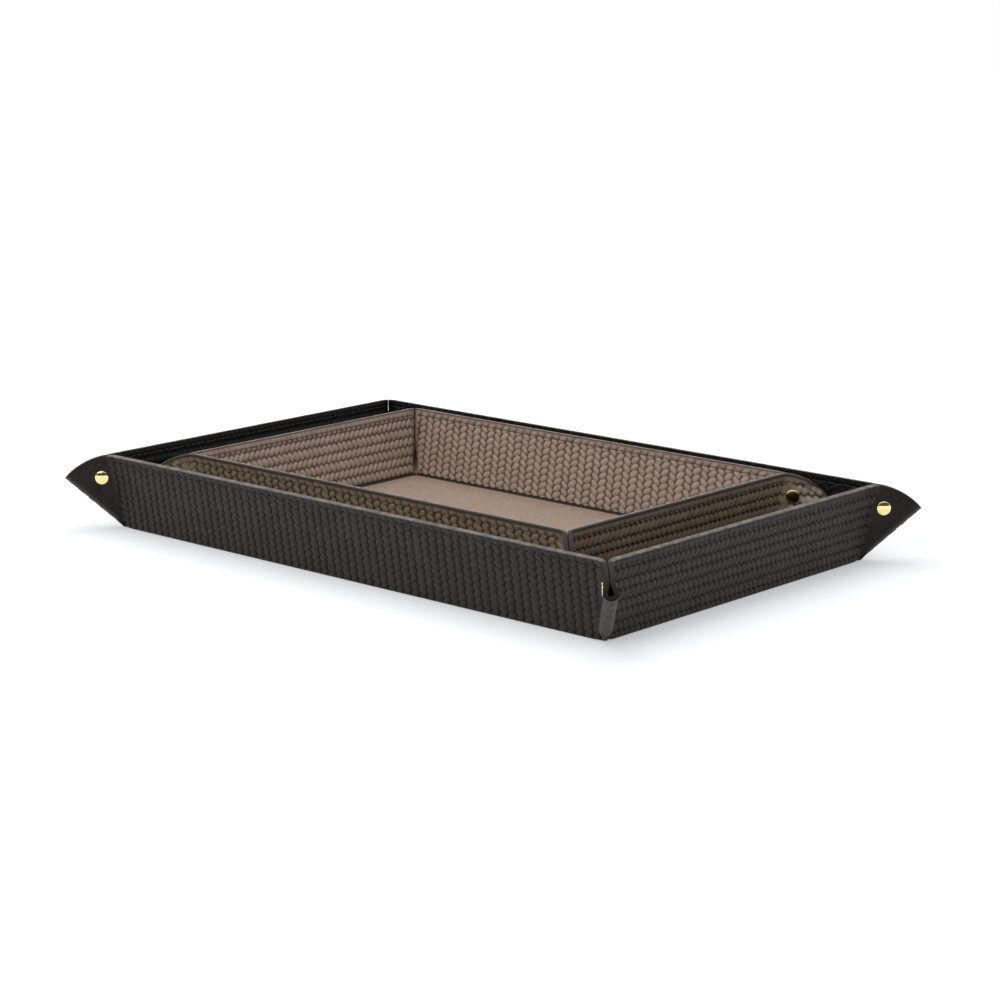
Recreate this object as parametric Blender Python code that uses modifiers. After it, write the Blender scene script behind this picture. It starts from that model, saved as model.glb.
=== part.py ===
"""A nested pair of snap-corner leather trinket trays, modelled in metres with +Z up.

Each tray is one sheet of leather, board and lining, creased round its base. Its corners are pinched
outward into doubled ears, and a press stud holds each ear shut. The outer tray unfolds flat about the
creases, and the inner tray lifts out. The origin is the middle of the outer tray's underside.
"""

import math

import bmesh
import bpy
from mathutils import Matrix, Vector

MM = 0.001

# The outer tray's base at its underside, length along X and width along Y. The inner tray leaves a
# channel at each end, and its ears nearly fill the outer tray's width.
OUTER_BASE_LENGTH = 408 * MM
OUTER_BASE_WIDTH = 248 * MM
END_CHANNEL = 50.5 * MM
NEST_CLEARANCE = 0.8 * MM
WALL_HEIGHT = 48 * MM
WALL_LEAN = math.radians(9.2)

# Layers of the sheet, from the outside in
COVER_THICKNESS = 0.9 * MM
BOARD_THICKNESS = 1.2 * MM
LINING_THICKNESS = 0.8 * MM
GLUE_GAP = 0.3 * MM

# Board pieces stop short of the sheet's edges and creases
BOARD_EDGE_INSET = 2.5 * MM
BOARD_CREASE_INSET = 2 * MM

# Ears: two plies that the stud pinches together, with a round bulb at the fold where the sheet turns.
# The bulb lies a little above the line through the base's corner, and the plies meet at its neck.
EAR_PLY_THICKNESS = 2.1 * MM
EAR_PLY_GAP = 1.2 * MM
FOLD_RADIUS = 4.2 * MM
FOLD_LIFT = 1.2 * MM
EAR_START = 2 * MM
CREASE_GAP = 0.3 * MM
OPEN_CREASE_GAP = 2.8 * MM
FOLD_SPLIT_GAP = 0.3 * MM
BASE_CORNER_RELIEF = 4 * MM

# Press studs
SNAP_BELOW_RIM = 13.4 * MM
SNAP_FROM_CREASE_ROOT = 3.8 * MM
SNAP_CAP_RADIUS = 4.4 * MM
SNAP_CAP_HEIGHT = 1.3 * MM
SNAP_CAP_RIM = 0.5 * MM
SNAP_FLAT_MARGIN = 0.2 * MM
SNAP_POST_RADIUS = 1.4 * MM
SNAP_FLANGE_RADIUS = 3.2 * MM
SNAP_FLANGE_THICKNESS = 0.6 * MM
SNAP_KNOB_RADIUS = 1.6 * MM
SNAP_KNOB_CHAMFER = 0.4 * MM
SNAP_SOCKET_RADIUS = 3.4 * MM
SNAP_SOCKET_HEIGHT = 1.4 * MM
SNAP_SOCKET_FLOOR = 0.3 * MM
SNAP_POCKET_DEPTH = 1.2 * MM
SNAP_CLEARANCE = 0.3 * MM

# How finely curves are cut, and how far a cut runs past what it cuts
ARC_STEPS = 14
FOLD_STEPS = 6
NECK_STEPS = 5
HOLE_STEPS = 16
DOME_STEPS = 5
TURNED_STEPS = 20
CUT_OVERRUN = 5 * MM
MERGE_DISTANCE = 0.001 * MM

# Sizes that follow from the ones above
SHEET_THICKNESS = COVER_THICKNESS + BOARD_THICKNESS + LINING_THICKNESS + 2 * GLUE_GAP
WALL_SLANT = WALL_HEIGHT / math.cos(WALL_LEAN)
WALL_FOOT = COVER_THICKNESS + GLUE_GAP
EAR_HALF_THICKNESS = EAR_PLY_GAP / 2 + EAR_PLY_THICKNESS
SNAP_SEAT = EAR_PLY_GAP / 2 + SNAP_POCKET_DEPTH
HINGE_ARM = math.hypot(WALL_FOOT, SHEET_THICKNESS)
INNER_FLOOR_HEIGHT = SHEET_THICKNESS + GLUE_GAP

# The crease between a wall and its ear leans past the perpendicular by this much, so that the pinched
# corner closes. What is left of the corner's quarter turn is shared by the two plies of the ear.
CREASE_TILT = math.atan(math.sin(WALL_LEAN))
PLY_ANGLE = math.pi / 4 - CREASE_TILT

# How far the press stud lies above the fold. It pinches the plies flat under its whole cap, so they part
# into the bulb just below the cap.
SNAP_UP_CREASE = WALL_SLANT - SNAP_BELOW_RIM
SNAP_ACROSS = SNAP_UP_CREASE * math.sin(PLY_ANGLE) - SNAP_FROM_CREASE_ROOT * math.cos(PLY_ANGLE)
FOLD_NECK = SNAP_ACROSS - SNAP_CAP_RADIUS - SNAP_FLAT_MARGIN

# How steeply the crease and the diagonal fold rise in the upright plane through the corner
CREASE_OUT = (math.sin(CREASE_TILT) + math.cos(CREASE_TILT) * math.sin(WALL_LEAN)) / math.sqrt(2)
CREASE_RISE = math.atan2(math.cos(CREASE_TILT) * math.cos(WALL_LEAN), CREASE_OUT)
FOLD_RISE = CREASE_RISE - PLY_ANGLE

# The inner tray's width leaves its ear tips just clear of the outer tray's leaning walls
TIP_BULGE = FOLD_RADIUS * math.hypot(1, math.sin(FOLD_RISE)) - (FOLD_RADIUS + FOLD_LIFT) * math.sin(FOLD_RISE)
TIP_REACH = (WALL_SLANT * math.cos(FOLD_RISE) + TIP_BULGE) / math.sqrt(2)
TIP_HEIGHT = INNER_FLOOR_HEIGHT + WALL_SLANT * math.sin(FOLD_RISE)
WALL_FACE = OUTER_BASE_WIDTH / 2 - SHEET_THICKNESS / math.cos(WALL_LEAN) + TIP_HEIGHT * math.tan(WALL_LEAN)
INNER_BASE_LENGTH = OUTER_BASE_LENGTH - 2 * END_CHANNEL
INNER_BASE_WIDTH = 2 * (WALL_FACE - TIP_REACH - NEST_CLEARANCE)

COVER_STACK = (0, COVER_THICKNESS)
BOARD_STACK = (COVER_STACK[1] + GLUE_GAP, COVER_STACK[1] + GLUE_GAP + BOARD_THICKNESS)
LINING_STACK = (BOARD_STACK[1] + GLUE_GAP, BOARD_STACK[1] + GLUE_GAP + LINING_THICKNESS)

UP = Vector((0, 0, 1))


def clear_scene():
    for obj in list(bpy.data.objects):
        bpy.data.objects.remove(obj, do_unlink=True)


def new_collection(name):
    collection = bpy.data.collections.new(name)
    bpy.context.scene.collection.children.link(collection)
    return collection


def new_material(name, colour, roughness, metallic=0.0):
    material = bpy.data.materials.new(name)
    material.use_nodes = True
    shader = material.node_tree.nodes["Principled BSDF"]
    shader.inputs["Base Color"].default_value = (*colour, 1)
    shader.inputs["Roughness"].default_value = roughness
    shader.inputs["Metallic"].default_value = metallic
    return material


clear_scene()
PARTS = new_collection("leather_trinket_tray")
CUTTERS = new_collection("cutters")

DARK_LEATHER = new_material("dark_leather", (0.045, 0.04, 0.04), 0.5)
DARK_LINING = new_material("dark_lining", (0.012, 0.011, 0.012), 0.6)
TAUPE_LEATHER = new_material("taupe_leather", (0.13, 0.1, 0.075), 0.5)
TAUPE_LINING = new_material("taupe_lining", (0.36, 0.27, 0.21), 0.6)
GREY_BOARD = new_material("grey_board", (0.35, 0.33, 0.3), 0.9)
YELLOW_BRASS = new_material("yellow_brass", (0.85, 0.62, 0.25), 0.2, 1.0)


def axes_matrix(x_axis, y_axis, z_axis, origin):
    """The placing matrix of a piece whose own axes point along the three given ones."""
    return Matrix(
        (
            (x_axis.x, y_axis.x, z_axis.x, origin.x),
            (x_axis.y, y_axis.y, z_axis.y, origin.y),
            (x_axis.z, y_axis.z, z_axis.z, origin.z),
            (0, 0, 0, 1),
        )
    )


def new_pivot(name, point, parent=None):
    """An empty on a joint's axis, which the pieces that turn about it hang on."""
    pivot = bpy.data.objects.new(name, None)
    PARTS.objects.link(pivot)
    hang(pivot, parent, Matrix.Translation(point))
    return pivot


def hang(obj, parent, world):
    """Puts an object at a world matrix, as a child of the pivot that carries it."""
    obj.parent = parent
    bpy.context.view_layer.update()
    obj.matrix_basis = parent.matrix_world.inverted() @ world if parent else world
    bpy.context.view_layer.update()


def extruded_outline(name, outlines, low, high):
    """A solid with the given outline in its own XY plane, from low to high along its own Z.

    The first outline is the edge, and any others are holes through it.
    """
    curve = bpy.data.curves.new(name, "CURVE")
    curve.dimensions = "2D"
    curve.fill_mode = "BOTH"
    curve.extrude = (high - low) / 2
    for outline in outlines:
        spline = curve.splines.new("POLY")
        spline.points.add(len(outline) - 1)
        for point, (x, y) in zip(spline.points, outline):
            point.co = (x, y, 0, 1)
        spline.use_cyclic_u = True
    source = bpy.data.objects.new(name + "_outline", curve)
    CUTTERS.objects.link(source)
    evaluated = source.evaluated_get(bpy.context.evaluated_depsgraph_get())
    mesh = bpy.data.meshes.new_from_object(evaluated)
    bpy.data.objects.remove(source, do_unlink=True)
    mesh.name = name
    form = bmesh.new()
    form.from_mesh(mesh)
    bmesh.ops.remove_doubles(form, verts=form.verts, dist=MERGE_DISTANCE)
    bmesh.ops.translate(form, verts=form.verts, vec=(0, 0, (low + high) / 2))
    bmesh.ops.recalc_face_normals(form, faces=form.faces)
    form.to_mesh(mesh)
    form.free()
    return mesh


def flat_piece(name, outlines, stack, world, parent, material):
    """A flat piece of leather or board, between two depths of the sheet."""
    mesh = extruded_outline(name, outlines, *stack)
    mesh.materials.append(material)
    piece = bpy.data.objects.new(name, mesh)
    PARTS.objects.link(piece)
    hang(piece, parent, world)


def arc(centre, radius, start, end, steps):
    """Points round part of a circle, its two ends included."""
    turns = [start + (end - start) * step / steps for step in range(steps + 1)]
    return [(centre[0] + radius * math.cos(t), centre[1] + radius * math.sin(t)) for t in turns]


class Corner:
    """The directions and lines that one pinched corner of a tray is built on.

    side_x and side_y are +1 or -1 and say which corner it is. Everything is measured from the corner of
    the base, at the underside of the sheet.
    """

    def __init__(self, tray, side_x, side_y):
        self.wall = "back" if side_y > 0 else "front"
        self.name = "%s_%s_%s" % (tray.name, self.wall, "right" if side_x > 0 else "left")
        self.point = Vector((side_x * tray.length / 2, side_y * tray.width / 2, tray.height))
        out_x = Vector((side_x, 0, 0))
        out_y = Vector((0, side_y, 0))
        self.outward = (out_x + out_y).normalized()
        self.long_side = (out_y - out_x).normalized()
        slant = math.sin(WALL_LEAN) * out_y + math.cos(WALL_LEAN) * UP
        # The crease between the long wall and the ear, and the diagonal fold at the ear's foot. With the
        # corner shut, the crease of the short wall runs the same way as that of the long wall.
        self.crease = math.cos(CREASE_TILT) * slant + math.sin(CREASE_TILT) * out_x
        self.fold = math.cos(FOLD_RISE) * self.outward + math.sin(FOLD_RISE) * UP
        self.across = -math.sin(FOLD_RISE) * self.outward + math.cos(FOLD_RISE) * UP
        self.through = self.fold.cross(self.across)
        # The angle between the wall's plane and the ply's plane at the crease
        along_wall = (out_x - out_x.dot(self.crease) * self.crease).normalized()
        self.ply_turn = along_wall.angle(self.across_crease())
        self.crease_inset = EAR_HALF_THICKNESS / math.sin(self.ply_turn)
        self.crease_point = self.point - along_wall * self.crease_inset
        # Half of the ear turns about a line just outside the fold, so that both creases close when flat
        self.fold_shift = EAR_HALF_THICKNESS * math.tan(self.ply_turn / 2) * math.cos(PLY_ANGLE)
        self.fold_point = self.point - self.across * self.fold_shift
        self.snap_point = (
            self.point + self.crease * SNAP_UP_CREASE + self.across_crease() * SNAP_FROM_CREASE_ROOT
        )

    def across_crease(self):
        """Square to the crease, in the ear's plane, pointing away from the tray."""
        return (self.fold - self.fold.dot(self.crease) * self.crease).normalized()

    def ear_plane(self, point):
        """A world point as its place along the fold and across it."""
        offset = point - self.point
        return offset.dot(self.fold), offset.dot(self.across)


class Tray:
    def __init__(self, name, length, width, height, cover, lining, unfolds):
        self.name = name
        self.length = length
        self.width = width
        self.height = height
        self.cover = cover
        self.lining = lining
        self.unfolds = unfolds
        self.corners = [Corner(self, x, y) for y in (-1, 1) for x in (-1, 1)]


def base_outline(length, width, inset, relief):
    """The base's rectangle, its corners cut off at 45 degrees where the ears start."""
    x = length / 2 - inset
    y = width / 2 - inset
    cut = max(relief - inset, 0)
    return [
        (x - cut, -y),
        (x, cut - y),
        (x, y - cut),
        (x - cut, y),
        (cut - x, y),
        (-x, y - cut),
        (-x, cut - y),
        (cut - x, -y),
    ]


def make_base(tray, parent):
    world = Matrix.Translation((0, 0, tray.height))
    inset = HINGE_ARM + GLUE_GAP
    layers = (
        ("cover", COVER_STACK, GLUE_GAP, tray.cover),
        ("board", BOARD_STACK, inset + BOARD_CREASE_INSET, GREY_BOARD),
        ("lining", LINING_STACK, inset, tray.lining),
    )
    for layer, stack, layer_inset, material in layers:
        relief = BASE_CORNER_RELIEF + layer_inset
        outline = base_outline(tray.length, tray.width, layer_inset, relief)
        name = "%s_base_%s" % (tray.name, layer)
        flat_piece(name, [outline], stack, world, parent, material)


def wall_outline(base_edge, crease_inset, foot, top, end_inset):
    """A wall between its two creases, which spread towards the rim, seen square on."""
    spread = math.tan(CREASE_TILT)
    end = base_edge / 2 - crease_inset - end_inset / math.cos(CREASE_TILT)
    low = end + foot * spread
    high = end + top * spread
    return [(-low, foot), (low, foot), (high, top), (-high, top)]


def make_wall(tray, side, pivot):
    """One wall, whose three layers stand on the base edge and lean outward."""
    along, outward, edge, reach, on_short_side = {
        "front": (Vector((-1, 0, 0)), Vector((0, -1, 0)), tray.length, tray.width, False),
        "back": (Vector((1, 0, 0)), Vector((0, 1, 0)), tray.length, tray.width, False),
        "right": (Vector((0, -1, 0)), Vector((1, 0, 0)), tray.width, tray.length, True),
        "left": (Vector((0, 1, 0)), Vector((-1, 0, 0)), tray.width, tray.length, True),
    }[side]
    slant = math.sin(WALL_LEAN) * outward + math.cos(WALL_LEAN) * UP
    origin = outward * (reach / 2) + UP * tray.height
    # The layers are stacked inward from the outer face, so the piece's own Z points inward
    world = axes_matrix(along, slant, along.cross(slant), origin)
    crease_inset = tray.corners[0].crease_inset
    end = OPEN_CREASE_GAP if on_short_side and tray.unfolds else CREASE_GAP
    layers = (
        ("cover", COVER_STACK, WALL_FOOT, WALL_SLANT, end, tray.cover),
        (
            "board",
            BOARD_STACK,
            WALL_FOOT + BOARD_CREASE_INSET,
            WALL_SLANT - BOARD_EDGE_INSET,
            end + BOARD_CREASE_INSET,
            GREY_BOARD,
        ),
        ("lining", LINING_STACK, WALL_FOOT, WALL_SLANT, end, tray.lining),
    )
    for layer, stack, foot, top, end_inset, material in layers:
        outline = wall_outline(edge, crease_inset, foot, top, end_inset)
        name = "%s_%s_wall_%s" % (tray.name, side, layer)
        flat_piece(name, [outline], stack, world, pivot, material)


def ear_outline(corner):
    """The ear's edge in its own plane: the crease, the rounded corner of the sheet and the fold."""
    root_along, root_across = corner.ear_plane(corner.crease_point)
    root_along += CREASE_GAP * math.sin(PLY_ANGLE)
    root_across -= CREASE_GAP * math.cos(PLY_ANGLE)
    # The crease runs at the ply's angle to the fold. This is how far it passes from the base corner.
    offset = root_across * math.cos(PLY_ANGLE) - root_along * math.sin(PLY_ANGLE)
    foot = (EAR_START, EAR_START * math.tan(PLY_ANGLE) + offset / math.cos(PLY_ANGLE))
    rim_start = PLY_ANGLE + math.asin(offset / WALL_SLANT)
    rim = arc((0, 0), WALL_SLANT, rim_start, 0, ARC_STEPS)
    below = -CUT_OVERRUN
    return [foot] + rim + [(WALL_SLANT, below), (EAR_START, below)]


def neck(bulb_reach, ply_reach):
    """The line down from the pinched plies to the widest part of the bulb, its lower end left out."""
    bulb_middle = FOLD_LIFT + FOLD_RADIUS
    points = []
    for step in range(NECK_STEPS):
        share = step / NECK_STEPS
        swell = (1 - math.cos(math.pi * share)) / 2
        across = FOLD_NECK + (bulb_middle - FOLD_NECK) * share
        points.append((across, ply_reach + (bulb_reach - ply_reach) * swell))
    return points


def mirrored(points):
    """The same line on the ear's other side, run the other way."""
    return [(x, -y) for x, y in reversed(points)]


def fold_profile(side):
    """The ear's cross section, square to the fold, as places across the fold and through the ear.

    side is 1 for the long wall's ply, -1 for the short wall's ply and 0 for the whole folded ear.
    """
    outer = FOLD_RADIUS
    inner = FOLD_RADIUS - EAR_PLY_THICKNESS
    top = 2 * WALL_SLANT
    centre = (FOLD_LIFT + FOLD_RADIUS, 0)
    outer_neck = [(top, EAR_HALF_THICKNESS)] + neck(outer, EAR_HALF_THICKNESS)
    inner_neck = [(top, EAR_PLY_GAP / 2)] + neck(inner, EAR_PLY_GAP / 2)
    if side == 0:
        outer_arc = arc(centre, outer, math.pi / 2, 3 * math.pi / 2, 2 * FOLD_STEPS)
        inner_arc = arc(centre, inner, 3 * math.pi / 2, math.pi / 2, 2 * FOLD_STEPS)
        outside = outer_neck + outer_arc + mirrored(outer_neck)
        return outside + [(x, -y) for x, y in inner_neck] + inner_arc + inner_neck[::-1]
    outer_end = math.pi - math.asin(FOLD_SPLIT_GAP / 2 / outer)
    inner_end = math.pi - math.asin(FOLD_SPLIT_GAP / 2 / inner)
    outer_arc = arc(centre, outer, math.pi / 2, outer_end, FOLD_STEPS)
    inner_arc = arc(centre, inner, inner_end, math.pi / 2, FOLD_STEPS)
    profile = outer_neck + outer_arc + inner_arc + inner_neck[::-1]
    return [(x, side * y) for x, y in profile]


def circle(centre, radius):
    """A closed circle's points."""
    return arc(centre, radius, 0, 2 * math.pi, HOLE_STEPS)[:-1]


def cut_ear(ear, corner, mesh, operation):
    """Trims an ear with a solid that is drawn in the ear's own plane."""
    cutter = bpy.data.objects.new(mesh.name, mesh)
    CUTTERS.objects.link(cutter)
    cutter.hide_render = True
    cutter.display_type = "WIRE"
    hang(cutter, None, axes_matrix(corner.fold, corner.across, corner.through, corner.point))
    cut = ear.modifiers.new(mesh.name, "BOOLEAN")
    cut.operation = operation
    cut.object = cutter


def make_ear(corner, name, side, parent, material):
    """A ply of an ear, or the whole ear, as its cross section run along the fold and trimmed to its edge."""
    hand = 1 if corner.through.dot(corner.long_side) > 0 else -1
    section = extruded_outline(name, [fold_profile(side * hand)], 0, WALL_SLANT + CUT_OVERRUN)
    section.materials.append(material)
    ear = bpy.data.objects.new(name, section)
    PARTS.objects.link(ear)
    hang(ear, parent, axes_matrix(corner.across, corner.through, corner.fold, corner.point))

    snap_place = corner.ear_plane(corner.snap_point)
    hole = circle(snap_place, SNAP_POST_RADIUS + SNAP_CLEARANCE)
    reach = FOLD_RADIUS + CUT_OVERRUN
    edge = extruded_outline(name + "_edge", [ear_outline(corner), hole], -reach, reach)
    cut_ear(ear, corner, edge, "INTERSECT")
    # The stud's halves are pressed into the plies' inner faces
    pocket = circle(snap_place, SNAP_SOCKET_RADIUS + SNAP_CLEARANCE)
    cut_ear(ear, corner, extruded_outline(name + "_pocket", [pocket], -SNAP_SEAT, SNAP_SEAT), "DIFFERENCE")


def snap_cap_profile():
    """The domed cap and its post, from the top of the dome down to where the post leaves the leather."""
    seat = EAR_HALF_THICKNESS + SNAP_CLEARANCE
    dome_height = SNAP_CAP_HEIGHT - SNAP_CAP_RIM
    turns = [math.pi / 2 * (1 - step / DOME_STEPS) for step in range(DOME_STEPS + 1)]
    dome = [
        (SNAP_CAP_RADIUS * math.cos(t), seat + SNAP_CAP_RIM + dome_height * math.sin(t)) for t in turns
    ]
    dome[0] = (0, dome[0][1])
    return dome + [(SNAP_CAP_RADIUS, seat), (SNAP_POST_RADIUS, seat)]


def snap_stud_profile():
    """The stud half: its flange lies in the pocket of its ply and its knob reaches into the socket."""
    flange_top = SNAP_SEAT - SNAP_CLEARANCE
    flange_bottom = flange_top - SNAP_FLANGE_THICKNESS
    knob_end = SNAP_SOCKET_FLOOR + 2 * SNAP_CLEARANCE - SNAP_SEAT
    return snap_cap_profile() + [
        (SNAP_POST_RADIUS, flange_top),
        (SNAP_FLANGE_RADIUS, flange_top),
        (SNAP_FLANGE_RADIUS, flange_bottom),
        (SNAP_KNOB_RADIUS, flange_bottom),
        (SNAP_KNOB_RADIUS, knob_end + SNAP_KNOB_CHAMFER),
        (SNAP_KNOB_RADIUS - SNAP_KNOB_CHAMFER, knob_end),
        (0, knob_end),
    ]


def snap_socket_profile():
    """The socket half: a cup in the pocket of the other ply, open towards the stud."""
    socket_top = SNAP_SEAT - SNAP_CLEARANCE
    socket_bottom = socket_top - SNAP_SOCKET_HEIGHT
    cup_floor = socket_top - SNAP_SOCKET_FLOOR
    cup_radius = SNAP_KNOB_RADIUS + SNAP_CLEARANCE
    return snap_cap_profile() + [
        (SNAP_POST_RADIUS, socket_top),
        (SNAP_SOCKET_RADIUS, socket_top),
        (SNAP_SOCKET_RADIUS, socket_bottom),
        (cup_radius, socket_bottom),
        (cup_radius, cup_floor),
        (0, cup_floor),
    ]


def make_snap_half(corner, name, profile, side, parent):
    """Half of a press stud, turned about the line through the ear. side is as for fold_profile."""
    mesh = bpy.data.meshes.new(name)
    form = bmesh.new()
    points = [form.verts.new((radius, 0, depth)) for radius, depth in profile]
    for start, end in zip(points, points[1:]):
        form.edges.new((start, end))
    form.to_mesh(mesh)
    form.free()
    mesh.materials.append(YELLOW_BRASS)
    half = bpy.data.objects.new(name, mesh)
    PARTS.objects.link(half)
    turn = half.modifiers.new("turn", "SCREW")
    turn.axis = "Z"
    turn.steps = TURNED_STEPS
    turn.render_steps = TURNED_STEPS
    turn.use_merge_vertices = True
    turn.merge_threshold = MERGE_DISTANCE
    turn.use_smooth_shade = True
    # The turned piece's own Z runs out through its cap
    out = corner.long_side * side
    across = corner.across
    hang(half, parent, axes_matrix(across, out.cross(across), out, corner.snap_point))


def make_corner(tray, corner, pivots):
    """The ear and the press stud of one corner. On a tray that unfolds, each ply hangs on its own crease."""
    if tray.unfolds:
        long_pivot = new_pivot(corner.name + "_crease", corner.crease_point, pivots[corner.wall])
        short_pivot = new_pivot(corner.name + "_fold", corner.fold_point, long_pivot)
        make_ear(corner, corner.name + "_ear_long_ply", 1, long_pivot, tray.cover)
        make_ear(corner, corner.name + "_ear_short_ply", -1, short_pivot, tray.cover)
    else:
        long_pivot = short_pivot = pivots["base"]
        make_ear(corner, corner.name + "_ear", 0, long_pivot, tray.cover)
    make_snap_half(corner, corner.name + "_snap_stud", snap_stud_profile(), 1, long_pivot)
    make_snap_half(corner, corner.name + "_snap_socket", snap_socket_profile(), -1, short_pivot)


def make_tray(tray):
    base = new_pivot(tray.name + "_tray", Vector((0, 0, tray.height)))
    pivots = {"base": base}
    feet = {
        "front": Vector((0, -tray.width / 2, tray.height)),
        "back": Vector((0, tray.width / 2, tray.height)),
        "right": Vector((tray.length / 2, 0, tray.height)),
        "left": Vector((-tray.length / 2, 0, tray.height)),
    }
    for side, foot in feet.items():
        pivots[side] = new_pivot("%s_%s_hinge" % (tray.name, side), foot, base) if tray.unfolds else base
    make_base(tray, base)
    for side in feet:
        make_wall(tray, side, pivots[side])
    for corner in tray.corners:
        make_corner(tray, corner, pivots)


make_tray(
    Tray("outer", OUTER_BASE_LENGTH, OUTER_BASE_WIDTH, 0, DARK_LEATHER, DARK_LINING, unfolds=True)
)
make_tray(
    Tray(
        "inner",
        INNER_BASE_LENGTH,
        INNER_BASE_WIDTH,
        INNER_FLOOR_HEIGHT,
        TAUPE_LEATHER,
        TAUPE_LINING,
        unfolds=False,
    )
)
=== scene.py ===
"""The looks of a nested pair of snap-corner leather trinket trays.

Each tray is one embossed leather sheet, folded up along its base and pinched at its corners. Lengths are
in metres and +Z is up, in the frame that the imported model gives.
"""

import math

import bmesh
import bpy
import numpy as np
from mathutils import Matrix, Vector


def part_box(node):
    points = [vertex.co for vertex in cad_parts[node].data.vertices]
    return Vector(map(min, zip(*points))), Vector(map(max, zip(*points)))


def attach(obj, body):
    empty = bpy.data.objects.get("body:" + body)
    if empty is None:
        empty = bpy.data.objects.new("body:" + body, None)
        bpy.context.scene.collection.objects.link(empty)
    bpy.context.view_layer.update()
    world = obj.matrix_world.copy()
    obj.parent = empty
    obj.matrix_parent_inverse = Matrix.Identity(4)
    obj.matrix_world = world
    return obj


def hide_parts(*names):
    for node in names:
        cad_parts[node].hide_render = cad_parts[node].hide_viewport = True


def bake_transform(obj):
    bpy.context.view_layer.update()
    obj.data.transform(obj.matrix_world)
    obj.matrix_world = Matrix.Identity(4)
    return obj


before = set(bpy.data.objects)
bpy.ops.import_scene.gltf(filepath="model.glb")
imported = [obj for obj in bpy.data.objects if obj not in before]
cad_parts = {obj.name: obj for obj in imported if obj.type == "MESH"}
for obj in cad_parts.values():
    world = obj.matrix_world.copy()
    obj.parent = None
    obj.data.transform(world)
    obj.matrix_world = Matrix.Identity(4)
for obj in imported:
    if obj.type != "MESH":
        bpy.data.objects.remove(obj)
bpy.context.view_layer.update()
MM = 0.001

# The view. A long lens looks at the trays' front right corner from a little above their rims. The trays
# stand on a white sweep, under one broad lamp overhead and a weaker one at the front. The studio is dark
# behind the camera, which shows in the polished brass.
EYE = Vector((1.0986, -1.2033, 0.3998))
LOOKED_AT = Vector((-0.00384, 0.02064, 0.024))
LENS_MM = 95.4
SENSOR_MM = 36.0
FLOOR_SIZE = 8.0
FLOOR_COLOUR = (0.66, 0.665, 0.68, 1)
FLOOR_LIFT = 0.345
WHITE_FROM = 0.29
WHITE_BY = 0.75
SKY_COLOUR = (0.93, 0.96, 1, 1)
SKY_STRENGTH = 0.5
NEAREST_SEEN = 0.01
# The dark side of the studio: its brightness, how high it reaches and fades, which way it lies, and how
# squarely a reflection has to point that way for it to begin and to be full
DARK_SIDE = 0.07
DARK_SIDE_TOP = 0.36
DARK_SIDE_FADE = 0.04
DARK_SIDE_WAY = (0.67, -0.74, 0)
DARK_SIDE_FROM = 0.55
DARK_SIDE_BY = 0.75
WHITE = (1, 1, 1, 1)
# Each lamp: where it stands, its two sides and its power in watts
LAMPS = {
    "overhead_lamp": ((-0.3, 0.1, 1.45), (1.6, 1.2), 17.0),
    "front_lamp": ((0.45, -1.6, 0.9), (1.0, 0.8), 6.5),
}


def put_in_scene(name, data):
    """An object of that mesh, lamp or camera, in the scene."""
    made = bpy.data.objects.new(name, data)
    bpy.context.scene.collection.objects.link(made)
    return made


def finished_piece(name, form, materials):
    """The form as a mesh of those materials, in the scene."""
    mesh = bpy.data.meshes.new(name)
    form.to_mesh(mesh)
    form.free()
    for material in materials:
        mesh.materials.append(material)
    return put_in_scene(name, mesh)


camera_data = bpy.data.cameras.new("camera")
camera_data.lens = LENS_MM
camera_data.sensor_width = SENSOR_MM
camera_data.clip_start = NEAREST_SEEN
camera = put_in_scene("camera", camera_data)
camera.location = EYE
camera.rotation_euler = (LOOKED_AT - EYE).to_track_quat("-Z", "Y").to_euler()
bpy.context.scene.camera = camera
bpy.context.scene.view_settings.view_transform = "Standard"

for lamp_name, (place, sides, power) in LAMPS.items():
    lamp_data = bpy.data.lights.new(lamp_name, "AREA")
    lamp_data.shape = "RECTANGLE"
    lamp_data.size, lamp_data.size_y = sides
    lamp_data.energy = power
    lamp = put_in_scene(lamp_name, lamp_data)
    lamp.location = place
    lamp.rotation_euler = (-Vector(place)).to_track_quat("-Z", "Y").to_euler()


def feed(tree, node, inputs):
    """Gives each input socket, by name or number, its value or the output that feeds it."""
    for socket, given in inputs.items():
        if isinstance(given, bpy.types.NodeSocket):
            tree.links.new(given, node.inputs[socket])
        else:
            node.inputs[socket].default_value = given


def add_node(tree, kind, inputs=None, **settings):
    """A node of that kind. Settings are its properties, and inputs is what its sockets get."""
    node = tree.nodes.new(kind)
    for key, value in settings.items():
        setattr(node, key, value)
    feed(tree, node, inputs or {})
    return node


def calculate(tree, operation, first, second=0.0, third=0.0):
    """The output of a Math node."""
    inputs = {0: first, 1: second, 2: third}
    return add_node(tree, "ShaderNodeMath", inputs, operation=operation).outputs[0]


def spread(tree, value, low, high, start=0.0, end=1.0, **settings):
    """The output of a Map Range node: from start to end while the value goes from low to high."""
    inputs = {0: value, 1: low, 2: high, 3: start, 4: end}
    return add_node(tree, "ShaderNodeMapRange", inputs, **settings).outputs[0]


def mixed(tree, share, first, second):
    """The colour output of a Mix node. first and second are colours or sockets."""
    inputs = {0: share, 6: first, 7: second}
    return add_node(tree, "ShaderNodeMix", inputs, data_type="RGBA").outputs[2]


def new_material(name):
    """A material, its node tree and its shader."""
    material = bpy.data.materials.new(name)
    material.use_nodes = True
    return material, material.node_tree, material.node_tree.nodes["Principled BSDF"]


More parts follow.
